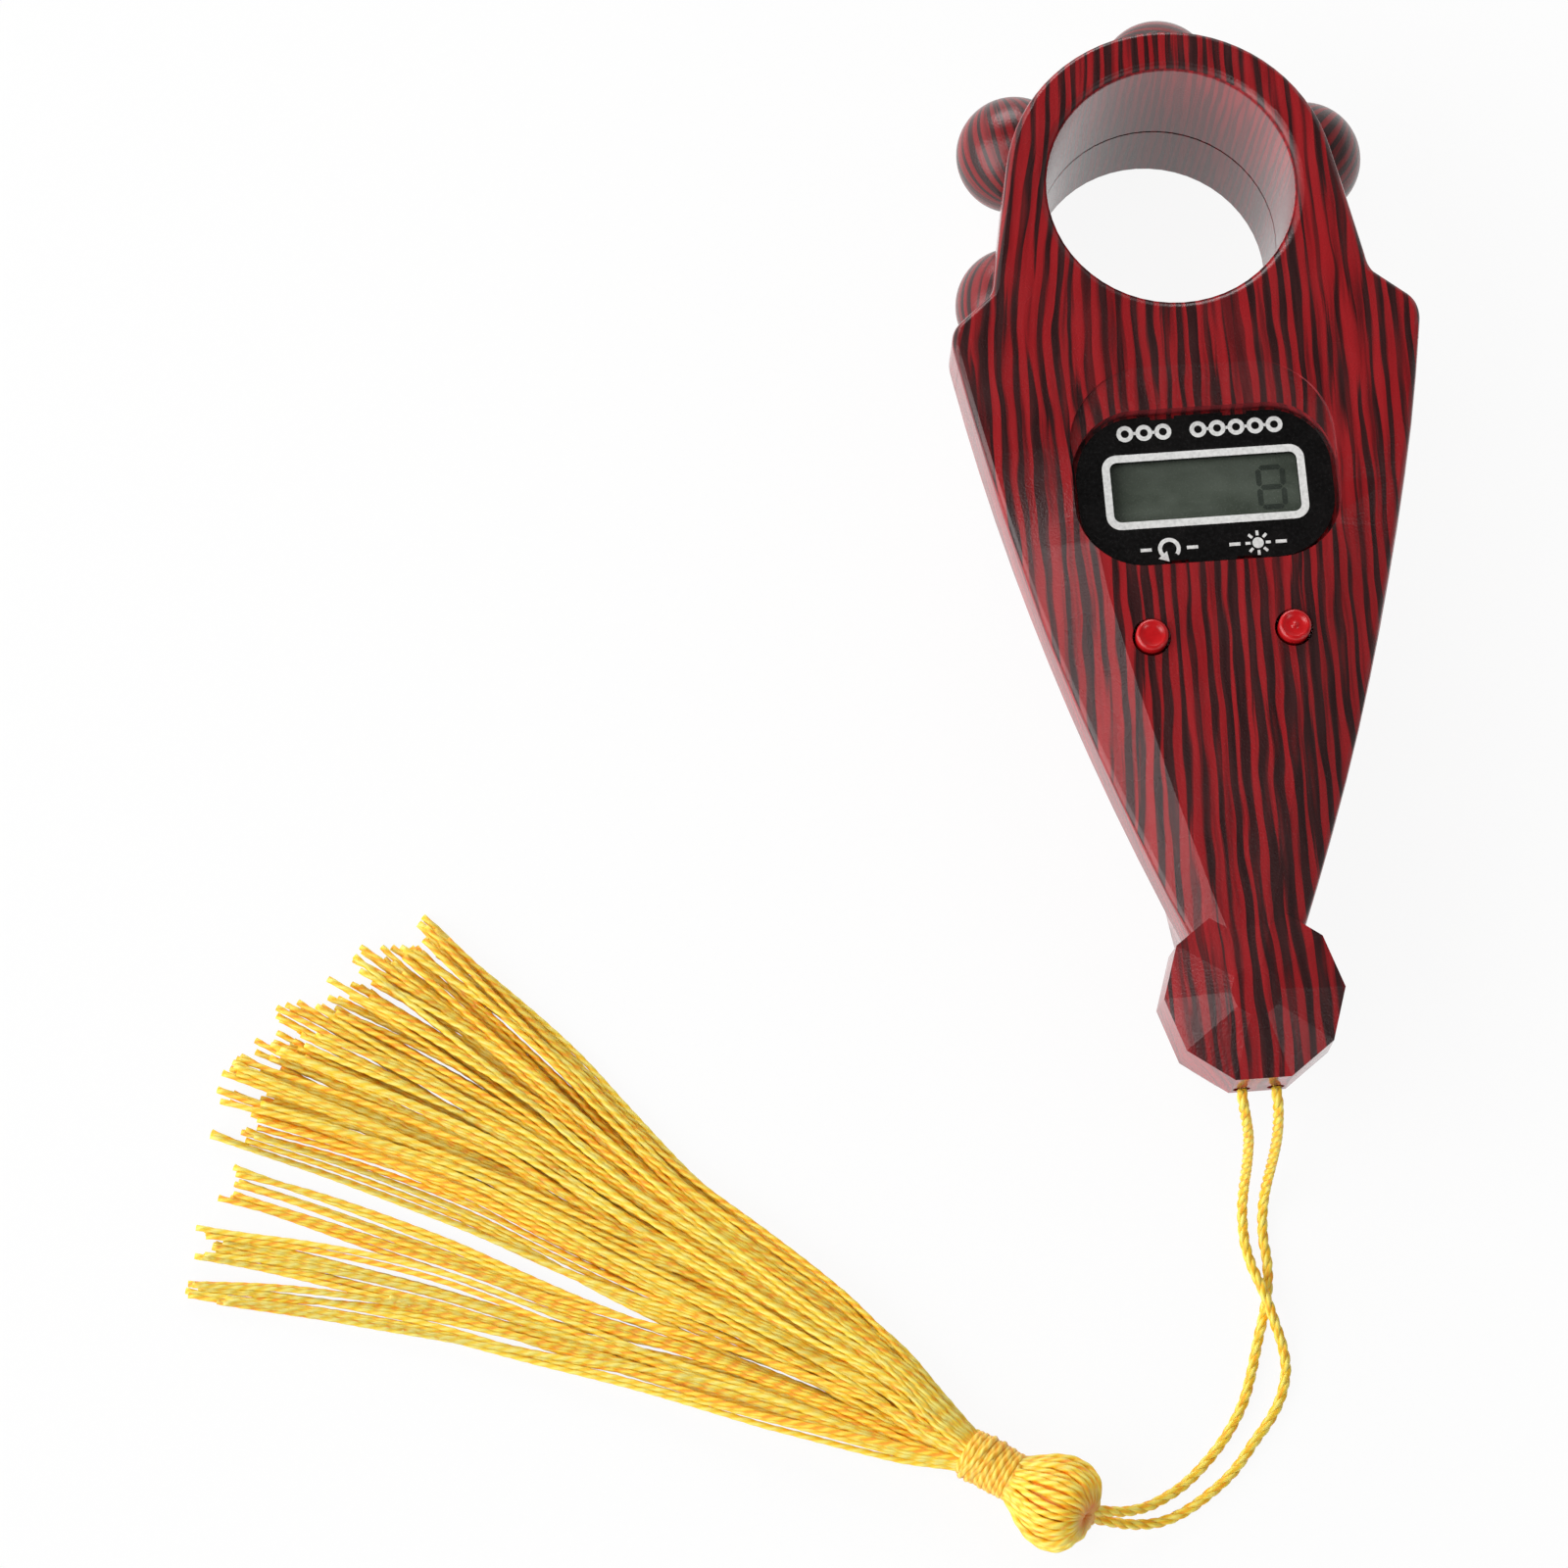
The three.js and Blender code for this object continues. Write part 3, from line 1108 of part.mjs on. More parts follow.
const wineRed = { color: 0x9e2028, roughness: 0.42, metalness: 0 };
const FINISHES = {
  case: wineRed,
  bead: { ...wineRed, roughness: 0.35 },
  hub: { color: 0x2a1214, roughness: 0.5, metalness: 0 },
  label: { color: 0x0c0c0e, roughness: 0.3, metalness: 0 },
  lcd: { color: 0x4a5248, roughness: 0.15, metalness: 0 },
  button: { color: 0xc41a1e, roughness: 0.25, metalness: 0 },
  black: { color: 0x18181a, roughness: 0.5, metalness: 0 },
  white: { color: 0xe8e8e2, roughness: 0.5, metalness: 0 },
  rubber: { color: 0x3a3a3c, roughness: 0.8, metalness: 0 },
  board: { color: 0x2f6b3c, roughness: 0.5, metalness: 0 },
  steel: { color: 0xb8b8ba, roughness: 0.35, metalness: 1 },
  brass: { color: 0xc2a052, roughness: 0.3, metalness: 1 },
  thread: { color: 0xf2b01e, roughness: 0.7, metalness: 0 },
};

const product = new THREE.Group();

function addPiece(name, body, finish, frame = null) {
  const geometry = geometryOf(body);
  if (frame) geometry.applyMatrix4(frame);
  const mesh = new THREE.Mesh(geometry, new THREE.MeshStandardMaterial(FINISHES[finish]));
  mesh.name = name;
  product.add(mesh);
  return mesh;
}

// The case and what it holds

const casePieces = [
  addPiece('front_case', frontCase(), 'case'),
  addPiece('rear_case', rearCase(), 'case'),
  addPiece('battery_door', batteryDoor(), 'case'),
  addPiece('battery_door_screw', doorScrew(), 'steel'),
  ...CASE_SCREWS.map((at, i) => addPiece(`case_screw_${i + 1}`, caseScrew(at), 'steel')),
  addPiece('display_label', displayLabel(), 'label'),
  addPiece('lcd_panel', lcdPanel(), 'lcd'),
  addPiece('lcd_holder', lcdHolder(), 'black'),
  addPiece('zebra_strip', zebraStrip(), 'rubber'),
  addPiece('backlight_diffuser', backlightDiffuser(), 'white'),
  addPiece('backlight_led', backlightLed(), 'white'),
  addPiece('circuit_board', circuitBoard(), 'board'),
  ...BOARD_SCREWS.map((at, i) => addPiece(`board_screw_${i + 1}`, boardScrew(at), 'steel')),
  addPiece('counter_chip', counterChip(), 'black'),
  addPiece('wiper_contacts', wiperContacts(), 'brass'),
  addPiece('battery_cell_1', batteryCell(CELL_FIRST_Y), 'steel'),
  addPiece('battery_cell_2', batteryCell(CELL_FIRST_Y - CELL_PITCH), 'steel'),
  addPiece('battery_contact_plus', batteryContact(CELL_FIRST_Y), 'brass'),
  addPiece('battery_contact_minus', batteryContact(CELL_FIRST_Y - CELL_PITCH), 'brass'),
  addPiece('battery_link', batteryLink(), 'brass'),
  addPiece('battery_wire_plus', batteryWire(CELL_FIRST_Y, CELL_FIRST_Y - 2), 'button'),
  addPiece('battery_wire_minus', batteryWire(CELL_FIRST_Y - CELL_PITCH, CELL_FIRST_Y - CELL_PITCH + 2), 'black'),
  addPiece('slip_washer', slipWasher(), 'white'),
  addPiece('reset_switch', switchHousing(BUTTON_XS[0]), 'black'),
  addPiece('light_switch', switchHousing(BUTTON_XS[1]), 'black'),
];

// The two push buttons

const buttonPieces = [
  addPiece('reset_button', buttonCap(BUTTON_XS[0]), 'button'),
  addPiece('reset_plunger', switchPlunger(BUTTON_XS[0]), 'white'),
  addPiece('light_button', buttonCap(BUTTON_XS[1]), 'button'),
  addPiece('light_plunger', switchPlunger(BUTTON_XS[1]), 'white'),
];

// The bead wheel

const wheelPieces = [
  addPiece('wheel_hub', wheelHub(), 'hub'),
  addPiece('contact_ring', contactRing(), 'brass'),
  ...beadAngles().map((angle, i) => addPiece(`bead_${i + 1}`, bead(angle), 'bead')),
];

// The cord and the tassel

addPiece('cord_bight', cordBight(), 'thread');
addPiece('cord_leg_left', cordLeg(LEFT_LEG), 'thread');
addPiece('cord_leg_right', cordLeg(RIGHT_LEG), 'thread');
addPiece('tassel_head', tasselHead(), 'thread', TASSEL_FRAME);
addPiece('tassel_wrap', tasselWrap(), 'thread', TASSEL_FRAME);
addPiece('tassel_skirt', tasselSkirt(), 'thread');

// The origin goes under the middle of the case, wheel and buttons

const hardware = new THREE.Box3();
[...casePieces, ...buttonPieces, ...wheelPieces].forEach((mesh) => hardware.expandByObject(mesh));
const middle = hardware.getCenter(new THREE.Vector3());
product.position.set(-middle.x, -middle.y, -hardware.min.z);

export default product;
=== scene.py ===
"""Electronic bead counter: the camera and the cords, then the pieces and their finishes."""

import math
import random

import bmesh
import bpy
from mathutils import Matrix, Vector


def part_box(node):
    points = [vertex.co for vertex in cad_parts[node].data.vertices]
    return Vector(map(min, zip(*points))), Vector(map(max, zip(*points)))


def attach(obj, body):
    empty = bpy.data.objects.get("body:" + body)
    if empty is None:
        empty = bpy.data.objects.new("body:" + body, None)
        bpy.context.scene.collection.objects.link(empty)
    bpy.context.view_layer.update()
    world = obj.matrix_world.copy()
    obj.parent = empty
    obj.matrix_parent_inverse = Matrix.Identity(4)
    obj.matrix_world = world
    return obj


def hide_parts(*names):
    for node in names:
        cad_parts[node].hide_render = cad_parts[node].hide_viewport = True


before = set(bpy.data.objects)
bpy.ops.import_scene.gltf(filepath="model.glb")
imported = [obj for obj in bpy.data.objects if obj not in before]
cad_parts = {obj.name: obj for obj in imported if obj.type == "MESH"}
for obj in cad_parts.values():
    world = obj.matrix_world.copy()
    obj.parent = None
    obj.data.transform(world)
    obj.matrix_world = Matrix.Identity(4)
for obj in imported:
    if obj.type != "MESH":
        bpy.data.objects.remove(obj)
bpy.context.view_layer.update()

MM = 0.001
RING_Y = 34.1654                   # the finger ring's axis, ahead of the origin
CASE_DEPTH = 26.4
HOLE_RADIUS = 12.5
KNOB_Y = -82.95                    # the knob's middle, from the ring's axis
KNOB_RADIUS = 8.95                 # out to the corners of its ten sides, where the cord leaves it
DISPLAY_X = 0.4                    # the middle of the display and of its label
DISPLAY_Y = -31.75


def at(x, y, z):
    """A point given from the ring's axis in millimetres, in metres in the row frame."""
    return Vector((x * MM, (y + RING_Y) * MM, z * MM))


# Camera, from the photograph's own perspective

def look_at_the_counter():
    lens = bpy.data.cameras.new("camera")
    lens.sensor_width = 36.0
    lens.lens = 95.92
    lens.clip_start = 0.01
    camera = bpy.data.objects.new("camera", lens)
    across = Vector((0.99713694, -0.0747824, 0.01120358))
    down = Vector((-0.06961005, -0.96566642, -0.25028543))
    forward = Vector((0.02953587, 0.24878897, -0.96810727))
    turn = Matrix((across, -down, -forward)).transposed()
    eye = Vector((-55.448, -125.6996, 417.314)) * MM
    camera.matrix_world = Matrix.Translation(eye) @ turn.to_4x4()
    bpy.context.scene.collection.objects.link(camera)
    bpy.context.scene.camera = camera


look_at_the_counter()


# Curves and meshes

def add_piece(name, corners, faces, finish, smooth=True):
    mesh = bpy.data.meshes.new(name)
    mesh.from_pydata([tuple(c) for c in corners], [], faces)
    mesh.validate()
    mesh.polygons.foreach_set("use_smooth", [smooth] * len(mesh.polygons))
    mesh.materials.append(finish)
    piece = bpy.data.objects.new(name, mesh)
    bpy.context.scene.collection.objects.link(piece)
    return piece


def through(points, step):
    """A smooth line through the points, resampled at even steps."""
    points = [Vector(p) for p in points]
    ends = [2 * points[0] - points[1], *points, 2 * points[-1] - points[-2]]
    fine = []
    fine_steps = 12
    for a, b, c, d in zip(ends, ends[1:], ends[2:], ends[3:]):
        for i in range(fine_steps):
            t = i / fine_steps
            fine.append(0.5 * (
                2 * b + (c - a) * t + (2 * a - 5 * b + 4 * c - d) * t ** 2
                + (3 * b - a - 3 * c + d) * t ** 3))
    fine.append(points[-1])
    run = [0.0]
    for a, b in zip(fine, fine[1:]):
        run.append(run[-1] + (b - a).length)
    count = max(2, round(run[-1] / step))
    line = []
    k = 0
    for i in range(count + 1):
        goal = run[-1] * i / count
        while k < len(fine) - 2 and run[k + 1] < goal:
            k += 1
        span = max(run[k + 1] - run[k], 1e-12)
        line.append(fine[k].lerp(fine[k + 1], min(1.0, (goal - run[k]) / span)))
    return line


def along_edge(edge, share):
    """The point at that share of the way along a line, held to its ends."""
    place = min(max(share, 0.0), 1.0) * (len(edge) - 1)
    k = min(int(place), len(edge) - 2)
    return edge[k].lerp(edge[k + 1], place - k)


def frames_along(line):
    """A tangent and two cross directions at each point, carried along without twist."""
    tangents = []
    for i in range(len(line)):
        tangents.append((line[min(i + 1, len(line) - 1)] - line[max(i - 1, 0)]).normalized())
    side = tangents[0].orthogonal().normalized()
    frames = []
    for t in tangents:
        side = (side - side.dot(t) * t).normalized()
        frames.append((t, side, t.cross(side)))
    return frames


THREAD_WAIST = 0.80                # a twisted thread's half-width between its plies, as a share
PLY_SWELL = 0.20                   # what each of the two plies adds to it
PLY_SHARE = 0.55                   # of a laid cord's radius, the radius of one ply


class ThreadWork:
    """Gathers round threads into one mesh, with a map of the way round and the way along."""

    def __init__(self):
        self.corners = []
        self.faces = []
        self.round_and_along = []
        self.shade = []

    def add_thread(self, line, radius, sides, shade=0.5, lay=0.0, flare=0.0):
        """A round thread, or with a lay one twisted in two, whose outline is waisted between them."""
        start = len(self.corners)
        run = 0.0
        runs = []
        for i, (point, (_, side, up)) in enumerate(zip(line, frames_along(line))):
            run += (point - line[i - 1]).length if i else 0.0
            runs.append(run)
            end = 1 + flare * max(0.0, (i + 3 - len(line)) / 2)
            for s in range(sides):
                turn = 2 * math.pi * s / sides
                waist = 1.0
                if lay:
                    waist = THREAD_WAIST + PLY_SWELL * math.cos(turn + 2 * math.pi * run / lay) ** 2
                spoke = math.cos(turn) * side + math.sin(turn) * up
                self.corners.append(point + radius * waist * end * spoke)
                self.shade.append(shade)
        for i in range(len(line) - 1):
            for s in range(sides):
                n = (s + 1) % sides
                a, b = start + i * sides, start + (i + 1) * sides
                self.faces.append((a + s, a + n, b + n, b + s))
                u0, u1 = s / sides, (s + 1) / sides
                v0, v1 = runs[i] / MM, runs[i + 1] / MM
                self.round_and_along += [u0, v0, u1, v0, u1, v1, u0, v1]
        for i, order in ((0, -1), (len(line) - 1, 1)):
            self.add_cap(start + i * sides, sides, order)
            self.round_and_along += [0.5, runs[i] / MM] * sides

    def add_cap(self, start, sides, order):
        """Closes the ring of corners that starts there, facing back with an order of -1."""
        self.faces.append(tuple([start + s for s in range(sides)][::order]))

    def add_laid_cord(self, line, radius, plies, pitch):
        """Plies of thread laid round each other along the line, each pressed into the next."""
        ply = PLY_SHARE * radius
        way = frames_along(line)
        run = 0.0
        turns = []
        for i, point in enumerate(line):
            run += (point - line[i - 1]).length if i else 0.0
            turns.append(2 * math.pi * run / pitch)
        for k in range(plies):
            strand = []
            for point, (_, side, up), turn in zip(line, way, turns):
                a = turn + 2 * math.pi * k / plies
                strand.append(point + (radius - ply) * (math.cos(a) * side + math.sin(a) * up))
            self.add_thread(strand, ply, 10, 0.5 + 0.12 * (k - 1))

    def piece(self, name, finish):
        made = add_piece(name, self.corners, self.faces, finish)
        made.data.attributes.new("thread_shade", "FLOAT", "POINT").data.foreach_set("value", self.shade)
        made.data.uv_layers.new(name="round_and_along").data.foreach_set("uv", self.round_and_along)
        return made


# Colours and nodes

def colour(code):
    """A written sRGB colour as linear light."""
    parts = [int(code[i:i + 2], 16) / 255 for i in (1, 3, 5)]
    return tuple(c / 12.92 if c <= 0.04045 else ((c + 0.055) / 1.055) ** 2.4 for c in parts) + (1.0,)


def add_node(tree, kind, inputs=(), stops=(), **settings):
    """Adds a node with its settings, its ramp's stops, and its sockets' constants or links."""
    made = tree.nodes.new(kind)
    for key, value in settings.items():
        setattr(made, key, value)
    for i, (place, code) in enumerate(stops):
        elements = made.color_ramp.elements
        stop = elements[i] if i < 2 else elements.new(place)
        stop.position = place
        stop.color = colour(code) if isinstance(code, str) else (code, code, code, 1.0)
    for key, value in dict(inputs).items():
        if isinstance(value, bpy.types.NodeSocket):
            tree.links.new(value, made.inputs[key])
        else:
            made.inputs[key].default_value = value
    return made


def start_finish(name):
    made = bpy.data.materials.new(name)
    made.use_nodes = True
    made.node_tree.nodes.clear()
    tree = made.node_tree
    place = add_node(tree, "ShaderNodeTexCoord").outputs["Object"]
    return made, tree, place


def close_finish(tree, shader):
    add_node(tree, "ShaderNodeOutputMaterial", {"Surface": shader.outputs["BSDF"]})


def grain(tree, place, size, detail=2.0, roughness=0.5):
    """Noise whose blotches measure size in millimetres: x, y and z, or one number for all three."""
    sizes = size if isinstance(size, tuple) else (size,) * 3
    scaled = add_node(tree, "ShaderNodeVectorMath", {
        0: place, 1: tuple(1000 / s for s in sizes)}, operation="MULTIPLY").outputs["Vector"]
    return add_node(tree, "ShaderNodeTexNoise", {
        "Vector": scaled, "Scale": 1.0, "Detail": detail, "Roughness": roughness}).outputs[0]


def calc(tree, operation, a, b=0.0, c=0.0):
    return add_node(tree, "ShaderNodeMath", {0: a, 1: b, 2: c}, operation=operation).outputs[0]


def ramp_up(tree, value, low, high):
    """A smooth rise from 0 to 1 as the value goes from low to high."""
    return add_node(tree, "ShaderNodeMapRange", {
        "Value": value, "From Min": low, "From Max": high}, interpolation_type="SMOOTHSTEP").outputs[0]


def choose(tree, picked, no, yes):
    return add_node(tree, "ShaderNodeMix", {"Factor": picked, "A": no, "B": yes}).outputs[0]


FILM_PITCH = 1.5                   # from one dark band to the next
DRAWN_IN = 0.20                    # how much closer the bands lie over the ring, as a share
OPENED_OUT = 0.12                  # and how much wider apart at the knob
FILM_LEAN = 3.0                    # sideways, over the ring
FILM_ROUND_THE_HOLE = 21.0         # the radius the bands are spaced for on the hole's wall


def film_over_the_case(tree, place):
    """The way across and along the woodgrain in metres, and where it lies on a wall. The dipped film
    draws in from the shoulders towards the ring, opens out towards the knob, leans over the ring, and
    drapes straight down the walls. In the finger hole it runs from the front to the back."""
    x, y, z = add_node(tree, "ShaderNodeSeparateXYZ", {0: place}).outputs
    outward, _, upward = add_node(tree, "ShaderNodeSeparateXYZ", {
        0: add_node(tree, "ShaderNodeTexCoord").outputs["Normal"]}).outputs
    up = calc(tree, "SUBTRACT", y, RING_Y * MM)
    over_ring = ramp_up(tree, up, -20 * MM, 18 * MM)
    over_body = ramp_up(tree, up, -40 * MM, -90 * MM)
    drawn = calc(tree, "MULTIPLY_ADD", over_body, -OPENED_OUT, calc(
        tree, "MULTIPLY_ADD", over_ring, DRAWN_IN, 1.0))
    across = calc(tree, "MULTIPLY_ADD", over_ring, -FILM_LEAN * MM, calc(tree, "MULTIPLY", x, drawn))
    wall = calc(tree, "LESS_THAN", calc(tree, "ABSOLUTE", upward), 0.5)
    drop = calc(tree, "MULTIPLY", wall, calc(tree, "SUBTRACT", CASE_DEPTH * MM, z))
    across = calc(tree, "MULTIPLY_ADD", outward, drop, across)
    away = calc(tree, "SQRT", calc(
        tree, "ADD", calc(tree, "MULTIPLY", x, x), calc(tree, "MULTIPLY", up, up)))
    in_hole = calc(tree, "LESS_THAN", away, (HOLE_RADIUS + 0.12) * MM)
    round_the_hole = calc(tree, "MULTIPLY", calc(tree, "ARCTAN2", x, up), FILM_ROUND_THE_HOLE * MM)
    return add_node(tree, "ShaderNodeCombineXYZ", {
        0: choose(tree, in_hole, across, round_the_hole), 1: choose(tree, in_hole, y, z),
        2: calc(tree, "MULTIPLY", z, 0.2)}).outputs[0], wall


def film_round_a_bead(tree):
    """The way across and along the woodgrain of one bead, from its own map in millimetres."""
    drawn = add_node(tree, "ShaderNodeUVMap", uv_map="film_way").outputs[0]
    return add_node(tree, "ShaderNodeVectorMath", {
        0: drawn, 1: (MM, MM, MM)}, operation="MULTIPLY").outputs["Vector"]


def sway(tree, way, size, reach):
    """Noise about zero over blotches of that size in millimetres, times the reach."""
    return calc(tree, "MULTIPLY", calc(tree, "SUBTRACT", grain(tree, way, size, 1.0), 0.5), reach)


def woodgrain_film_abs(name, dark, reds, smoothness, beaded=False):
    """Injection-moulded ABS under a dipped woodgrain film and a satin lacquer: near-straight dark bands
    that fork and run out lie along the piece over wine red, and the lacquer's orange peel speckles
    the light that comes off it at a slant."""
    made, tree, place = start_finish(name)
    if beaded:
        way = film_round_a_bead(tree)
    else:
        way, on_a_wall = film_over_the_case(tree, place)
    across, along, depth = add_node(tree, "ShaderNodeSeparateXYZ", {0: way}).outputs
    # The bands wander by half a millimetre over 60 mm, and shiver over 7 mm
    wandering = calc(tree, "ADD", calc(tree, "ADD", across, sway(tree, way, (14, 60, 20), 0.0036)),
                     sway(tree, way, (2.2, 7.5, 5.0), 0.0009))
    turns = calc(tree, "MULTIPLY", wandering, 2 * math.pi / (FILM_PITCH * MM))
    band = calc(tree, "MULTIPLY", calc(tree, "SINE", turns), 0.88)
    stripes = add_node(tree, "ShaderNodeCombineXYZ", {0: wandering, 1: along, 2: depth}).outputs[0]
    ink = calc(tree, "ADD", calc(tree, "ADD", band, sway(tree, stripes, (0.70, 15, 8), 3.8)),
               sway(tree, stripes, (2.9, 34, 14), 2.2))
    ink = calc(tree, "ADD", ink, sway(tree, stripes, (0.30, 9, 6), 1.7))
    # Some strokes took the ink thinly
    depth_of_ink = ramp_up(tree, grain(tree, stripes, (1.1, 13, 8), 2.0), 0.26, 0.50)
    cover = calc(tree, "MULTIPLY", ramp_up(tree, ink, -0.28, 0.42), calc(
        tree, "MULTIPLY_ADD", depth_of_ink, 0.36, 0.64))
    ground = add_node(tree, "ShaderNodeValToRGB", {
        "Fac": grain(tree, stripes, (0.9, 17, 8), 2.0)},
        stops=[(0.30, reds[0]), (0.45, reds[1]), (0.66, reds[2])]).outputs[0]
    streak = add_node(tree, "ShaderNodeValToRGB", {
        "Fac": grain(tree, stripes, (0.5, 8, 4), 1.0)},
        stops=[(0.35, dark[0]), (0.65, dark[1])]).outputs[0]
    skin = add_node(tree, "ShaderNodeMixRGB", {"Fac": cover, "Color1": ground, "Color2": streak}).outputs[0]
    # Orange peel of 0.1 mm, drawn at 0.22 mm so that it shows
    peel = grain(tree, place, 0.22, 2.0, 0.6)
    relief = add_node(tree, "ShaderNodeBump", {
        "Height": peel, "Strength": 0.7, "Distance": 0.04 * MM}).outputs[0]
    gloss = add_node(tree, "ShaderNodeMapRange", {
        "Value": grain(tree, place, (4, 7, 4), 3.0), "From Min": 0.3, "From Max": 0.7,
        "To Min": smoothness - 0.04, "To Max": smoothness + 0.05}).outputs[0]
    if not beaded:
        # Down the walls the film is painted paler, a painted reflection of the bright table, and lies
        # smoother under the lacquer
        gloss = calc(tree, "MULTIPLY_ADD", on_a_wall, -0.17, gloss)
        painted_wall_haze = calc(tree, "MULTIPLY", on_a_wall, 0.32)
        skin = add_node(tree, "ShaderNodeMixRGB", {
            "Fac": painted_wall_haze, "Color1": skin, "Color2": colour("#bd4f56")}).outputs[0]
    close_finish(tree, add_node(tree, "ShaderNodeBsdfPrincipled", {
        "Base Color": skin, "Roughness": gloss, "IOR": 1.5, "Normal": relief}))
    return made


def plain_finish(name, tints, roughness, blotch, pit, relief=0.02, metallic=0.0, ior=1.5):
    """A finish of its own grain: tints from low to high over the blotches, a roughness range, and fine
    pits or brushing. The sizes of blotch and pit and the relief's depth are in millimetres."""
    made, tree, place = start_finish(name)
    cloud = grain(tree, place, blotch, 4.0, 0.6)
    count = len(tints) - 1
    tint = add_node(tree, "ShaderNodeValToRGB", {"Fac": cloud}, stops=[
        (0.32 + 0.36 * i / count, code) for i, code in enumerate(tints)]).outputs[0]
    fine = grain(tree, place, pit, 3.0, 0.6)
    gloss = add_node(tree, "ShaderNodeMapRange", {
        "Value": fine, "From Min": 0.3, "From Max": 0.7,
        "To Min": roughness[0], "To Max": roughness[1]}).outputs[0]
    bump = add_node(tree, "ShaderNodeBump", {
        "Height": fine, "Strength": 0.6, "Distance": relief * MM}).outputs[0]
    inputs = {"Base Color": tint, "Roughness": gloss, "Metallic": metallic, "Normal": bump}
    if not metallic:
        inputs["IOR"] = ior
    close_finish(tree, add_node(tree, "ShaderNodeBsdfPrincipled", inputs))
    return made


def twisted_rayon(name, valley_shade, body, crest_highlight, lay, hollow_shade=None):
    """Viscose rayon yarn, twisted in two and dyed golden yellow, with a painted highlight pale on the crests
    and painted shade orange in the valleys between the plies, lit through its fibres and with their silky
    sheen. The lay is one turn's length in millimetres. A hollow shade is a point, a reach in metres and the
    colour of the painted shade in the hollow round that point."""
    made, tree, place = start_finish(name)
    plies = 2
    round_way, along, _ = add_node(tree, "ShaderNodeSeparateXYZ", {
        0: add_node(tree, "ShaderNodeUVMap", uv_map="round_and_along").outputs[0]}).outputs
    slant = calc(tree, "MULTIPLY_ADD", along, plies / lay, calc(tree, "MULTIPLY", round_way, float(plies)))
    swing = calc(tree, "COSINE", calc(tree, "MULTIPLY", slant, 2 * math.pi))
    ply = calc(tree, "MULTIPLY_ADD", swing, 0.5, 0.5)
    own = add_node(tree, "ShaderNodeAttribute", attribute_name="thread_shade").outputs["Fac"]
    cloud = grain(tree, place, 1.2, 3.0, 0.6)
    fibre = grain(tree, place, 0.12, 1.0)
    # Painted shade and painted highlight: the ply term darkens the valleys between the plies and lightens
    # their crests
    level = calc(tree, "MULTIPLY_ADD", ply, 0.46, calc(tree, "MULTIPLY_ADD", own, 0.36, calc(
        tree, "MULTIPLY_ADD", cloud, 0.5, -0.20)))
    tint = add_node(tree, "ShaderNodeValToRGB", {"Fac": level}, stops=[
        (0.10, valley_shade), (0.40, body), (0.82, crest_highlight)]).outputs[0]
    # Painted shade: the thread turns deeper orange towards the hollow where the cords go in
    if hollow_shade:
        point, reach, hollow_shade_tint = hollow_shade
        far = add_node(tree, "ShaderNodeVectorMath", {
            0: place, 1: tuple(point)}, operation="DISTANCE").outputs["Value"]
        near = add_node(tree, "ShaderNodeMapRange", {
            "Value": far, "From Min": 0.0006, "From Max": reach, "To Min": 0.85, "To Max": 0.0}).outputs[0]
        tint = add_node(tree, "ShaderNodeMixRGB", {
            "Fac": near, "Color1": tint, "Color2": colour(hollow_shade_tint)}).outputs[0]
    height = calc(tree, "MULTIPLY_ADD", fibre, 0.35, ply)
    relief = add_node(tree, "ShaderNodeBump", {
        "Height": height, "Strength": 0.7, "Distance": 0.08 * MM}).outputs[0]
    close_finish(tree, add_node(tree, "ShaderNodeBsdfPrincipled", {
        "Base Color": tint, "Roughness": 0.46, "IOR": 1.53, "Normal": relief,
        "Subsurface Weight": 0.35, "Subsurface Radius": (1.0, 1.0, 1.0), "Subsurface Scale": 0.0006,
        "Sheen Weight": 0.15, "Sheen Roughness": 0.35, "Sheen Tint": colour("#ffe9a8")}))
    return made


CASE_FILM = woodgrain_film_abs(
    "woodgrain film on moulded ABS", ("#290f10", "#3a1819"), ("#5c1115", "#8a161b", "#9a1b20"), 0.27)
BEAD_FILM = woodgrain_film_abs(
    "woodgrain film on turned ABS beads", ("#281112", "#391a1b"), ("#561115", "#7a151a", "#8a1a1f"),
    0.25, beaded=True)
THREAD_LAY = 3.4 * MM
# Painted shade for the valleys, the yarn's own golden yellow, and a painted highlight for the crests
RAYON_SHADE_TINT_HIGHLIGHT = ("#ffa010", "#ffd22e", "#ffeb76")
CORD_YARN = twisted_rayon("twisted rayon cord", *RAYON_SHADE_TINT_HIGHLIGHT, 4.4)
TASSEL_YARN = twisted_rayon("twisted rayon tassel thread", *RAYON_SHADE_TINT_HIGHLIGHT, THREAD_LAY / MM)


# The cords, down from the knob and along the table to the tassel

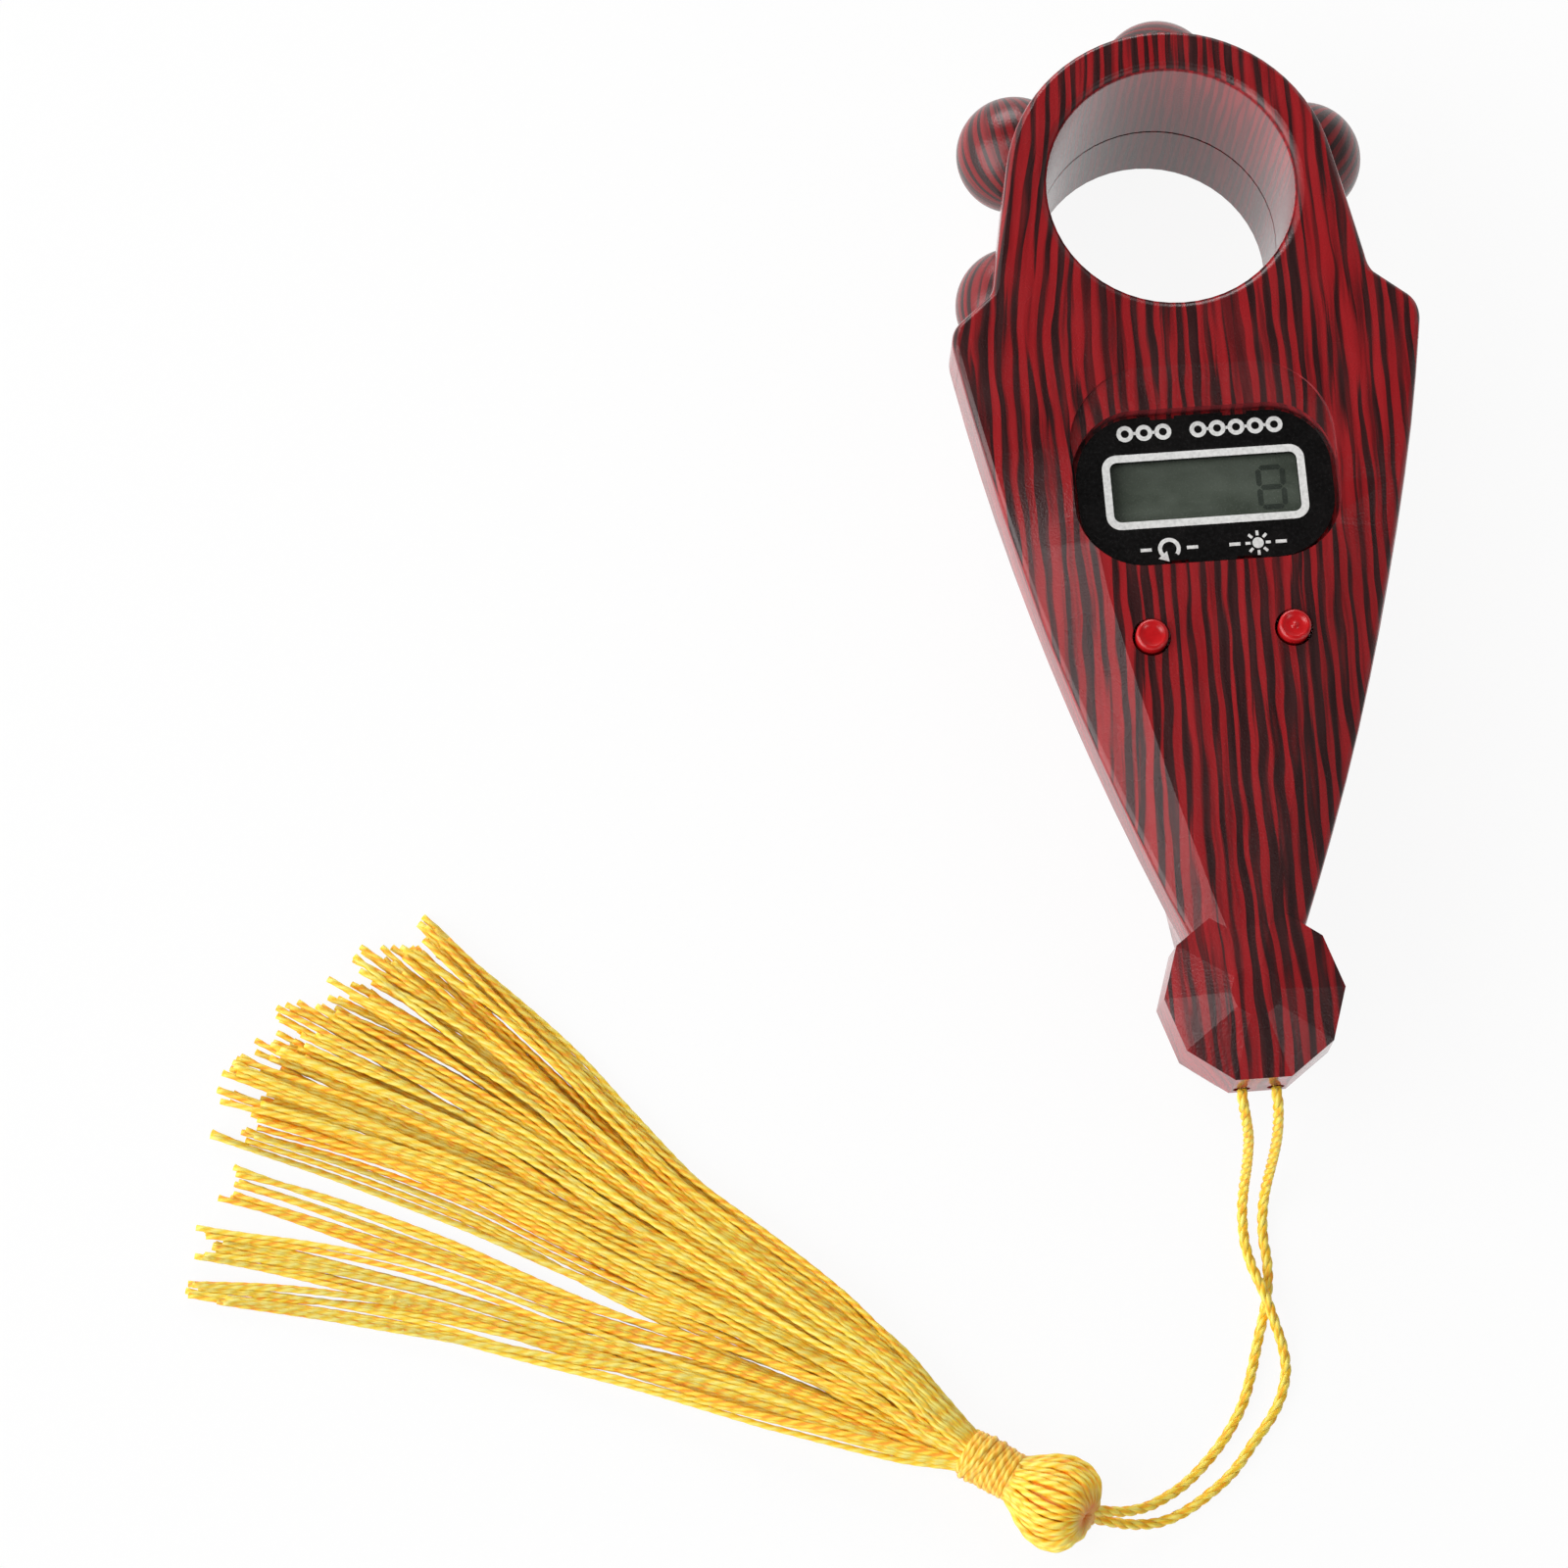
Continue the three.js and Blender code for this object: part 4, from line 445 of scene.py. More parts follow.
CORD_RADIUS = 0.55 * MM
CORD_PLIES = 3
CORD_PITCH = 3.9 * MM              # one turn of its plies
CORD_STEP = 0.35 * MM
CORD_HOLE_X = 1.66
CORD_Z = CASE_DEPTH - 5.6
HOLE_MOUTH_Y = KNOB_Y - KNOB_RADIUS * math.cos(math.pi / 10)
LEFT_LEG = [
    (-CORD_HOLE_X, HOLE_MOUTH_Y, CORD_Z), (-1.55, -92.7, 20.2), (-1.1, -94.0, 17.8), (-0.6, -95.0, 14.4),
    (-0.3, -95.9, 10.8), (-0.1, -96.8, 7.2), (-0.05, -97.8, 4.2), (-0.1, -99.0, 2.1), (-0.2, -100.6, 1.0),
    (-0.2, -103.3, 0.6), (0.2, -105.8, 0.9), (0.85, -108.1, 1.7), (1.35, -110.0, 2.1), (1.85, -111.9, 1.7),
    (2.45, -114.1, 0.9), (2.6, -116.4, 0.6), (1.9, -118.9, 0.6), (0.6, -121.1, 0.6), (-1.2, -123.2, 0.6),
    (-3.7, -126.1, 0.6), (-6.6, -128.3, 0.6), (-9.3, -129.8, 0.6), (-11.8, -130.5, 0.8),
    (-14.4, -130.5, 1.6), (-16.2, -130.2, 2.4), (-17.6, -129.9, 2.9), (-18.7, -129.9, 4.1),
    (-19.5, -129.8, 5.0)]
RIGHT_LEG = [
    (CORD_HOLE_X, HOLE_MOUTH_Y, CORD_Z), (1.8, -92.8, 20.2), (2.0, -94.1, 17.8), (2.2, -95.2, 14.4),
    (2.3, -96.1, 10.8), (2.3, -97.0, 7.2), (2.2, -98.0, 4.2), (2.0, -99.3, 2.1), (1.8, -101.0, 1.0),
    (1.7, -103.2, 0.6), (1.85, -105.7, 0.6), (1.6, -108.4, 0.6), (1.0, -110.7, 0.6), (0.1, -113.4, 0.6),
    (-0.9, -116.6, 0.6), (-2.1, -119.6, 0.6), (-4.0, -122.5, 0.6), (-6.3, -125.0, 0.6), (-9.0, -127.2, 0.9),
    (-12.2, -128.8, 1.8), (-14.6, -129.3, 2.9), (-16.2, -129.3, 3.7), (-17.2, -129.2, 4.3),
    (-18.3, -129.3, 5.2), (-19.3, -129.4, 5.8)]


def cord_leg(name, route, node):
    line = through([at(*p) for p in route], CORD_STEP)
    work = ThreadWork()
    work.add_laid_cord(line, CORD_RADIUS, CORD_PLIES, CORD_PITCH)
    leg = work.piece(name, CORD_YARN)
    length = sum((b - a).length for a, b in zip(line, line[1:]))
    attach(leg, "case")
    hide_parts(node)
    return leg, line, length


left_leg, left_line, left_length = cord_leg("left_cord", LEFT_LEG, "cord_leg_left")
right_leg, right_line, right_length = cord_leg("right_cord", RIGHT_LEG, "cord_leg_right")


def cord_in_the_knob():
    """The cord's loop round the screw post inside the knob."""
    wall, post, half_cord, gap, play = 2.3, 2.1, 0.55, 0.3, 0.1
    reach = post + half_cord + gap + play
    corner = 0.72 * reach
    right = [
        (CORD_HOLE_X, HOLE_MOUTH_Y + gap, CORD_Z), (CORD_HOLE_X, HOLE_MOUTH_Y + wall, CORD_Z),
        (reach - 0.3, KNOB_Y - 2.0, CORD_Z), (reach, KNOB_Y, CORD_Z), (corner, KNOB_Y + corner, CORD_Z)]
    route = right + [(0, KNOB_Y + reach, CORD_Z)] + [(-x, y, z) for x, y, z in right[::-1]]
    work = ThreadWork()
    work.add_laid_cord(through([at(*p) for p in route], CORD_STEP), CORD_RADIUS, CORD_PLIES, CORD_PITCH)
    loop = work.piece("knob_cord_loop", CORD_YARN)
    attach(loop, "case")
    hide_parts("cord_bight")


cord_in_the_knob()


# Tassel: gathered head, wound neck, and the skirt of loose threads

TASSEL_YAW = math.radians(-35)
TASSEL_TILT = math.radians(8.5)
WRAP_CENTRE = at(-27.65, -123.9, 3.5)
# Half of the gathered ball's outline, from the dimple where the cords go in to the neck
HEAD_PROFILE = [
    (10.0, 0.35), (10.75, 1.1), (10.7, 2.4), (9.8, 3.75), (8.3, 4.4), (6.6, 4.35), (5.0, 3.7),
    (3.7, 2.85), (2.3, 2.1)]
HEAD_MIDDLE = 6.0                  # the point along the tassel that the dimple's tilt turns about
HEAD_THREADS = 38
HEAD_POLE_TILT = math.radians(20)
NECK_RADIUS = 2.08
WRAP_LENGTH = 5.6
WRAP_LOOPS = 11
THREAD_RADIUS = 0.33
TIGHT_THREAD_RADIUS = 0.37         # pressed flat over the ball and round the neck
TASSEL_FRAME = (
    Matrix.Translation(WRAP_CENTRE) @ Matrix.Rotation(TASSEL_YAW, 4, "Z")
    @ Matrix.Rotation(-TASSEL_TILT, 4, "Y"))


def on_tassel(x, y, z):
    """A point in millimetres along and across the tassel's own axis, in the row frame."""
    return TASSEL_FRAME @ (Vector((x, y, z)) * MM)


HEAD_OUTLINE = through([(x, r, 0) for x, r in HEAD_PROFILE], 0.1)


def on_head(share, round_way, rise):
    """A point of the gathered ball, at a share of the way from the dimple, which faces up a little."""
    x, r, _ = along_edge(HEAD_OUTLINE, share)
    tilt = HEAD_POLE_TILT * max(0.0, 1 - 1.6 * share)
    x -= HEAD_MIDDLE
    y = (r + rise) * math.cos(round_way)
    z = (r + rise) * math.sin(round_way)
    along = HEAD_MIDDLE + x * math.cos(tilt) - z * math.sin(tilt)
    return on_tassel(along, y, x * math.sin(tilt) + z * math.cos(tilt))


def tassel_head():
    """Threads drawn in folds over a ball, from the cords to the neck, with the ball closed behind them."""
    rng = random.Random(11)
    work = ThreadWork()
    steps = 32
    for i in range(HEAD_THREADS):
        turn = 2 * math.pi * (i + rng.uniform(-0.32, 0.32)) / HEAD_THREADS
        lean = 0.16 + rng.uniform(-0.30, 0.30)
        fold = 0.16 * math.cos(9 * turn + 0.6) + 0.14 * math.cos(2 * turn + 0.8) + rng.uniform(-0.26, 0.12)
        line = []
        for k in range(steps + 1):
            t = k / steps
            line.append(on_head(t, turn + lean * (t - 0.5), fold * math.sin(math.pi * t) ** 0.6 - 0.20))
        work.add_thread(line, TIGHT_THREAD_RADIUS * MM, 8, rng.uniform(0.25, 0.9), lay=THREAD_LAY)
    # The ball closed behind the threads: its low thread_shade and its map at the valley give it painted
    # shade, for the gaps between the threads
    start, sides, rows = len(work.corners), 28, 17
    for k in range(rows):
        under_the_threads = -0.55 if 0 < k < rows - 1 else -0.2
        for s in range(sides):
            work.corners.append(on_head(k / (rows - 1), 2 * math.pi * s / sides, under_the_threads))
            work.shade.append(-0.4)
    for k in range(rows - 1):
        for s in range(sides):
            n = (s + 1) % sides
            a, b = start + k * sides, start + (k + 1) * sides
            work.faces.append((a + s, b + s, b + n, a + n))
            work.round_and_along += [0.25, 0.0] * 4
    for k, order in ((0, 1), (rows - 1, -1)):
        work.add_cap(start + k * sides, sides, order)
        work.round_and_along += [0.25, 0.0] * sides
    # Painted shade, orange-red round the dimple where the cords go in
    head = work.piece("gathered_head", twisted_rayon(
        "gathered rayon tassel thread", *RAYON_SHADE_TINT_HIGHLIGHT, THREAD_LAY / MM,
        hollow_shade=(on_head(0.0, 0.0, 0.0), 0.0030, "#ff5f10")))
    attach(head, "case")
    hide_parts("tassel_head")
    return head


def tassel_wrap():
    """One thread wound eleven times round the neck, its loops lying close, and brought back over them."""
    work = ThreadWork()
    steps = 40 * WRAP_LOOPS
    line = []
    for k in range(steps + 1):
        t = k / steps
        angle = -2 * math.pi * WRAP_LOOPS * t
        radius = NECK_RADIUS + 0.14 * math.sin(math.pi * t) + 0.05 * math.sin(5.3 * angle / WRAP_LOOPS)
        line.append(on_tassel(WRAP_LENGTH * (t - 0.5), radius * math.cos(angle), radius * math.sin(angle)))
    work.add_thread(line, TIGHT_THREAD_RADIUS * MM, 10, 0.42)
    for along, slope, shade in ((-1.6, 1.5, 0.6), (-0.7, 1.9, 0.35)):
        back = []
        steps = 48
        for k in range(steps + 1):
            angle = 2 * math.pi * k / steps
            radius = NECK_RADIUS + 0.30 + 0.05 * math.sin(2 * angle)
            place = along + slope * math.sin(angle + 0.9) * 0.5
            back.append(on_tassel(place, radius * math.cos(angle), radius * math.sin(angle)))
        work.add_thread(back, THREAD_RADIUS * MM, 10, shade)
    # Its valley colour is painted shade and its crest colour a painted highlight
    wrap = work.piece("neck_winding", twisted_rayon(
        "wound rayon tassel thread", "#fb9c18", "#ffc232", "#ffde6c", 2.4))
    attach(wrap, "case")
    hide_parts("tassel_wrap")


SKIRT_UPPER = [
    (-29.4, -120.6), (-32.4, -115.3), (-36.3, -110.2), (-47.2, -99.9), (-54.9, -92.4),
    (-60.9, -85.5), (-67.2, -77.9), (-80.2, -64.6)]
SKIRT_LOWER = [
    (-31.4, -123.5), (-36.2, -122.5), (-47.5, -118.0), (-60.2, -113.3), (-72.2, -109.6),
    (-83.6, -106.0), (-95.2, -103.2), (-106.0, -101.4)]
SKIRT_NECK_WIDTH = 4.0
SKIRT_END_WIDTH = 45.0
SKIRT_BULGE = 8.0
SKIRT_LENGTH = 78
NECK_SPREAD = 1.62                 # how far from the neck's middle the threads leave it
MAIN_THREADS = 118
MAIN_SHARE = 0.575                 # of the fan's end that the close-lying threads take
# Looser threads below them: place across the end, spread, count and reach
LOOSE_THREADS = [
    (0.000, 0.004, 3, 1.000), (0.030, 0.010, 2, 0.985), (0.610, 0.020, 5, 0.960), (0.640, 0.004, 2, 1.000),
    (0.700, 0.008, 2, 0.955), (0.735, 0.008, 3, 0.962), (0.765, 0.006, 3, 0.965), (0.855, 0.008, 4, 0.985),
    (0.880, 0.010, 6, 0.970), (0.900, 0.008, 3, 0.990), (0.965, 0.006, 3, 0.992), (0.990, 0.008, 4, 0.996),
    (1.000, 0.006, 4, 0.962), (0.925, 0.010, 3, 0.745)]


def skirt_threads(rng):
    """Each thread's place across the fan's end, its reach along the fan, and how high it lies."""
    threads = []
    for i in range(MAIN_THREADS):
        place = MAIN_SHARE * (i + rng.uniform(-5.5, 5.5)) / (MAIN_THREADS - 1)
        threads.append((min(max(place, 0.0), MAIN_SHARE), rng.uniform(0.950, 1.012), rng.uniform(0.0, 2.1)))
    for place, spread, count, reach in LOOSE_THREADS:
        for _ in range(count):
            across = place + rng.uniform(-spread, spread)
            threads.append((across, reach + rng.uniform(-0.010, 0.010), rng.uniform(0.0, 0.4)))
    return threads


def tassel_skirt():
    """Threads that leave the neck side by side and run nearly straight to their places in the fan."""
    rng = random.Random(7)
    work = ThreadWork()
    upper = through([(x, y, 0) for x, y in SKIRT_UPPER], 0.8)
    lower = through([(x, y, 0) for x, y in SKIRT_LOWER], 0.8)
    for end, reach, layer in skirt_threads(rng):
        start = min(max(0.5 + 0.62 * (end - 0.45) + rng.uniform(-0.42, 0.42), 0.0), 1.0)
        rise = rng.uniform(-1, 1) * math.sqrt(max(0.0, 1 - (2 * start - 1) ** 2))
        inward = max(-1.0, min(1.0, (MAIN_SHARE / 2 - end) * 3)) if end <= MAIN_SHARE else 0.0
        sag = rng.uniform(-1.0, 1.0) + 0.9 * inward
        bend = rng.uniform(-1.1, 1.1)
        phase = rng.uniform(0, 2 * math.pi)
        curl = rng.uniform(-0.5, 0.5)
        neck = Vector(((0.5 - start) * 2 * NECK_SPREAD, NECK_SPREAD * rise))
        line = [on_tassel(x, neck.x, neck.y) for x in (3.0, 0.6, -1.8)]
        steps = 36
        for k in range(2, steps + 1):
            t = k / steps
            share = t * reach
            low, high = (1 - share) * SKIRT_NECK_WIDTH, share * SKIRT_END_WIDTH
            u = (low * start + high * end) / (low + high)
            forward = (along_edge(upper, share + 0.02) - along_edge(upper, share - 0.02)
                       + along_edge(lower, share + 0.02) - along_edge(lower, share - 0.02)).normalized()
            cross = Vector((-forward.y, forward.x, 0))
            point = along_edge(upper, share).lerp(along_edge(lower, share), u)
            point += forward * (SKIRT_BULGE * share ** 3 * math.sin(math.pi * min(max(u, 0), 1)))
            point += forward * SKIRT_LENGTH * max(0.0, share - 1)
            wave = sag * math.sin(math.pi * t) + bend * math.sin(2 * math.pi * t) * min(1, 4 * t)
            wave += 0.12 * math.sin(10 * t + phase) + curl * max(0.0, t - 0.9) ** 2 * 60
            point += cross * wave
            lift = max(0.0, 1 - t * 1.3) ** 1.2
            z = (THREAD_RADIUS + 0.02 + layer) * (1 - lift) + (3.1 + neck.y) * lift
            line.append(at(point.x, point.y, max(z, THREAD_RADIUS + 0.01)))
        work.add_thread(
            through(line, 0.62 * MM), THREAD_RADIUS * MM, 7, rng.uniform(0.05, 0.95),
            lay=THREAD_LAY, flare=0.12)
    skirt = work.piece("skirt_threads", TASSEL_YARN)
    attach(skirt, "case")
    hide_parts("tassel_skirt")


head_piece = tassel_head()
tassel_wrap()
tassel_skirt()


# The case shells, with their moulded edges eased

EDGE_EASE = 0.5                    # width of the largest easing, round the label's recess
RIDGE_SHARE = 0.9                  # of that width, along the ridges between the facets
OTHER_SHARE = 0.12                 # of it, along every other sharp edge
KNOB_START_Y = -74.0
RECESS_MIDDLE = Vector((DISPLAY_X * MM, (RING_Y + DISPLAY_Y) * MM))
RECESS_REACH = (15.5, 10.5)        # from its middle past its rim, to the side and along
FRONT_LEVEL = 25.8                 # the recess's rim lies above it


def edge_ease(edge):
    """How an edge of a shell is eased: a share of EDGE_EASE, or 0 where the surface runs on smooth."""
    if len(edge.link_faces) != 2:
        return 0.0
    bend = math.degrees(edge.calc_face_angle(0.0))
    middle = (edge.verts[0].co + edge.verts[1].co) / 2
    run = edge.verts[1].co - edge.verts[0].co
    on_the_knob = middle.y < (RING_Y + KNOB_START_Y) * MM
    facets = all(f.normal.z > 0.85 for f in edge.link_faces)
    if facets and 4.0 < bend < 24.0 and (on_the_knob or abs(run.y) > 1.5 * abs(run.x)):
        return RIDGE_SHARE
    if bend < 50.0:
        return 0.0
    off = (middle.xy - RECESS_MIDDLE) / MM
    at_the_recess = abs(off.x) < RECESS_REACH[0] and abs(off.y) < RECESS_REACH[1]
    return 1.0 if at_the_recess and middle.z > FRONT_LEVEL * MM else OTHER_SHARE


def eased_shell(name, node):
    """The node's own shape with flat faces joined again, its facets crisp and its edges eased."""
    work = bmesh.new()
    work.from_mesh(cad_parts[node].data)
    bmesh.ops.remove_doubles(work, verts=work.verts, dist=2e-6)
    bmesh.ops.dissolve_limit(work, angle_limit=math.radians(0.6), verts=work.verts, edges=work.edges)
    work.normal_update()
    weight = work.edges.layers.float.new("bevel_weight_edge")
    for face in work.faces:
        face.smooth = True
    for edge in work.edges:
        edge[weight] = edge_ease(edge)
        edge.smooth = edge[weight] == 0.0
    mesh = bpy.data.meshes.new(name)
    work.to_mesh(mesh)
    work.free()
    mesh.materials.clear()
    mesh.materials.append(CASE_FILM)
    shell = bpy.data.objects.new(name, mesh)
    bpy.context.scene.collection.objects.link(shell)
    ease = shell.modifiers.new("eased edges", "BEVEL")
    ease.width = EDGE_EASE * MM
    ease.segments = 2
    ease.limit_method = "WEIGHT"
    ease.use_clamp_overlap = True
    even = shell.modifiers.new("flat faces kept flat", "WEIGHTED_NORMAL")
    even.keep_sharp = False
    even.weight = 100
    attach(shell, "case")
    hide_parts(node)


eased_shell("front_shell", "front_case")
eased_shell("rear_shell", "rear_case")


# The beads, round and seated on the hub

BEAD_RADIUS = 6.0
BEAD_CIRCLE_RADIUS = 17.2
HUB_SEAT_RADIUS = 15.9
BEAD_Z = 13.1
PEG_RADIUS = 1.5
PEG_LENGTH = 2.2                   # half of it in the bead, half in the hub
GRAIN_TILTS = (68, 12, -20, 30, 80, -42)   # how each bead was turned when it was dipped, in degrees


def bead_ball(number):
    """A round bead, hollowed where it sits on the hub, with its peg. Its grain runs from pole to pole."""
    low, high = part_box(f"bead_{number}")
    centre = (low + high) / 2
    angle = math.atan2(centre.y - RING_Y * MM, centre.x)
    work = bmesh.new()
    bmesh.ops.create_uvsphere(work, u_segments=72, v_segments=44, radius=BEAD_RADIUS)
    for v in work.verts:
        v.co.x += BEAD_CIRCLE_RADIUS
        out = math.hypot(v.co.x, v.co.y)
        if out < HUB_SEAT_RADIUS:
            v.co.x *= HUB_SEAT_RADIUS / out
            v.co.y *= HUB_SEAT_RADIUS / out
    bmesh.ops.create_cone(
        work, cap_ends=True, segments=28, radius1=PEG_RADIUS, radius2=PEG_RADIUS, depth=PEG_LENGTH,
        matrix=Matrix.Translation((HUB_SEAT_RADIUS, 0, 0)) @ Matrix.Rotation(math.pi / 2, 4, "Y"))
    # The poles lie across the row's Z, so that the grain is seen along the bead from the front
    tilt = math.radians(GRAIN_TILTS[number - 1]) - angle
    poles = (
        Matrix.Translation((BEAD_CIRCLE_RADIUS, 0, 0)) @ Matrix.Rotation(tilt, 4, "Z")
        @ Matrix.Rotation(math.radians(-90), 4, "X"))
    drawn = poles.inverted()
    spin = Matrix.Translation(at(0, 0, BEAD_Z)) @ Matrix.Rotation(angle, 4, "Z") @ Matrix.Scale(MM, 4)
    corners, faces, film_way = [], [], []
    work.verts.index_update()
    for v in work.verts:
        corners.append(spin @ v.co)
    for f in work.faces:
        faces.append([v.index for v in f.verts])
        middle = drawn @ f.calc_center_median()
        for v in f.verts:
            p = drawn @ v.co
            turn = math.atan2(p.y, p.x)
            around = math.atan2(middle.y, middle.x)
            turn += 2 * math.pi * round((around - turn) / (2 * math.pi))
            film_way += [BEAD_RADIUS * turn + 61 * number, p.z + 17 * number]
    work.free()
    ball = add_piece(f"wheel_bead_{number}", corners, faces, BEAD_FILM)
    ball.data.uv_layers.new(name="film_way").data.foreach_set("uv", film_way)
    ball.data.set_sharp_from_angle(angle=math.radians(35))
    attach(ball, "bead_wheel")
    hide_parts(f"bead_{number}")


for number in range(1, 7):
    bead_ball(number)


# The label's print, and the display

LABEL_TOP = 24.90
LCD_TOP = 23.70
BEAD_STEP = 1.90

# Screen ink on a polycarbonate label: a chalky off-white, uneven where the mesh left it thin
SCREEN_INK = plain_finish(
    "screen-printed off-white ink", ("#c4c4c2", "#d8d8d6", "#e4e4e2"), (0.4, 0.6), 0.35,
    0.16, 0.01)


def rounded_loop(width, height, corner, x, y):
    loop = []
    steps = 8
    for quarter in range(4):
        cx = x + (width / 2 - corner) * (1, -1, -1, 1)[quarter]
        cy = y + (height / 2 - corner) * (1, 1, -1, -1)[quarter]
        for k in range(steps + 1):
            turn = math.pi / 2 * (quarter + k / steps)
            loop.append((cx + corner * math.cos(turn), cy + corner * math.sin(turn)))
    return loop


def circle_loop(radius, x, y, steps=28, start=0.0, end=2 * math.pi):
    closed = end - start > 2 * math.pi - 1e-6
    count = steps if closed else steps + 1
    return [(x + radius * math.cos(start + (end - start) * k / steps),
             y + radius * math.sin(start + (end - start) * k / steps)) for k in range(count)]


class Print:
    """Gathers flat printed shapes into one thin raised mesh."""

    def __init__(self, top, height):
        self.base, self.top = top - 0.02, top + height
        self.corners = []
        self.faces = []

    def add_between(self, outer, inner, closed=True):
        start, n = len(self.corners), len(outer)
        for loop, z in ((outer, self.top), (inner, self.top), (outer, self.base), (inner, self.base)):
            self.corners += [at(x, y, z) for x, y in loop]
        for k in range(n if closed else n - 1):
            m = (k + 1) % n
            a, b, c, d = (start + j * n for j in range(4))
            self.faces += [
                (a + k, a + m, b + m, b + k), (c + k, d + k, d + m, c + m),
                (a + k, c + k, c + m, a + m), (b + k, b + m, d + m, d + k)]
        if not closed:
            a, b, c, d = (start + j * n for j in range(4))
            self.faces += [(a, b, d, c), (a + n - 1, c + n - 1, d + n - 1, b + n - 1)]

    def add_filled(self, loop):
        start, n = len(self.corners), len(loop)
        self.corners += [at(x, y, self.top) for x, y in loop]
        self.corners += [at(x, y, self.base) for x, y in loop]
        self.faces += [tuple(range(start, start + n)), tuple(range(start + 2 * n - 1, start + n - 1, -1))]
        for k in range(n):
            m = (k + 1) % n
            self.faces.append((start + k, start + n + k, start + n + m, start + m))

    def add_bar(self, x0, y0, x1, y1, width):
        d = Vector((x1 - x0, y1 - y0)).normalized() * width / 2
        self.add_filled([
            (x0 + d.y, y0 - d.x), (x1 + d.y, y1 - d.x), (x1 - d.y, y1 + d.x), (x0 - d.y, y0 + d.x)])

    def piece(self, name, finish):
        return add_piece(name, self.corners, self.faces, finish, smooth=False)


def label_print():
    """The white frame round the window, a row of counting beads, a turn-back arrow and a sun."""
    ink = Print(LABEL_TOP, 0.03)
    ink.add_between(
        rounded_loop(20.15, 7.75, 1.45, DISPLAY_X, DISPLAY_Y),
        rounded_loop(18.62, 6.22, 0.75, DISPLAY_X, DISPLAY_Y))
    # Counting beads on their string, in the two stretches where the label's words were
    row = DISPLAY_Y + 6.05
    for first, count in ((-7.05, 3), (0.25, 5)):
        for k in range(count):
            x = first + BEAD_STEP * k
            ink.add_between(circle_loop(0.84, x, row), circle_loop(0.40, x, row))
            if k:
                ink.add_bar(x - BEAD_STEP + 0.80, row, x - 0.80, row, 0.30)
    # Turn back to nought, and light, each between two short dashes
    below = DISPLAY_Y - 6.12
    turn, sun = DISPLAY_X - 4.2, DISPLAY_X + 4.6
    for x in (turn, sun):
        for side in (-1, 1):
            ink.add_bar(x + side * 1.75, below, x + side * 2.85, below, 0.34)
    end = math.radians(220)
    ink.add_between(
        circle_loop(1.12, turn, below, 30, math.radians(-40), end),
        circle_loop(0.72, turn, below, 30, math.radians(-40), end), closed=False)
    tip = Vector((turn + 0.92 * math.cos(end), below + 0.92 * math.sin(end)))
    back = Vector((math.sin(end), -math.cos(end)))
    out = Vector((math.cos(end), math.sin(end)))
    ink.add_filled([tuple(p) for p in (tip - 0.95 * back, tip - 0.58 * out, tip + 0.58 * out)])
    ink.add_filled(circle_loop(0.56, sun, below))
    for k in range(8):
        d = Vector((math.cos(k * math.pi / 4), math.sin(k * math.pi / 4)))
        ink.add_bar(sun + 0.76 * d.x, below + 0.76 * d.y, sun + 1.26 * d.x, below + 1.26 * d.y, 0.28)
    printed = ink.piece("label_print", SCREEN_INK)
    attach(printed, "case")


def display_digit():
    """All seven bars of one digit, faint because the display is switched off."""
    bars = Print(LCD_TOP, 0.02)
    cx, cy, half_w, half_h, width = 7.12, 2.35 - RING_Y, 1.20, 2.05, 0.52
    left, right, top, low = cx - half_w, cx + half_w, cy + half_h, cy - half_h

    def bar(x0, y0, x1, y1):
        d = Vector((x1 - x0, y1 - y0)).normalized()
        n = Vector((-d.y, d.x)) * width / 2
        gap, point = 0.06 + width / 2, width / 2
        a, b = Vector((x0, y0)) + d * gap, Vector((x1, y1)) - d * gap
        loop = [a - d * (point - 0.05), a - n, b - n, b + d * (point - 0.05), b + n, a + n]
        bars.add_filled([(p.x, p.y) for p in loop])

    for y in (top, cy, low):
        bar(left, y, right, y)
    for x in (left, right):
        bar(x, low, x, cy)
        bar(x, cy, x, top)
    # Twisted-nematic liquid crystal seen through its polariser: a dull dark green-grey
    digit = bars.piece("display_digit", plain_finish(
        "liquid crystal bar", ("#2f352f", "#383e38"), (0.22, 0.3), 1.5, 0.3, 0.002))
    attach(digit, "case")


label_print()
display_digit()


# The two push buttons

# Polished ABS: a clear red with crisp highlights on its rounded rim
BUTTON_RED = plain_finish(
    "polished red ABS", ("#a81318", "#b7161b", "#bf1a1e"), (0.14, 0.22), 1.2,
    0.3, 0.004)
CAP_RADIUS = 1.6
CAP_EDGE = 0.34                    # the rounding of its rim
FLANGE_RADIUS = 2.5
FLANGE_THICKNESS = 0.6


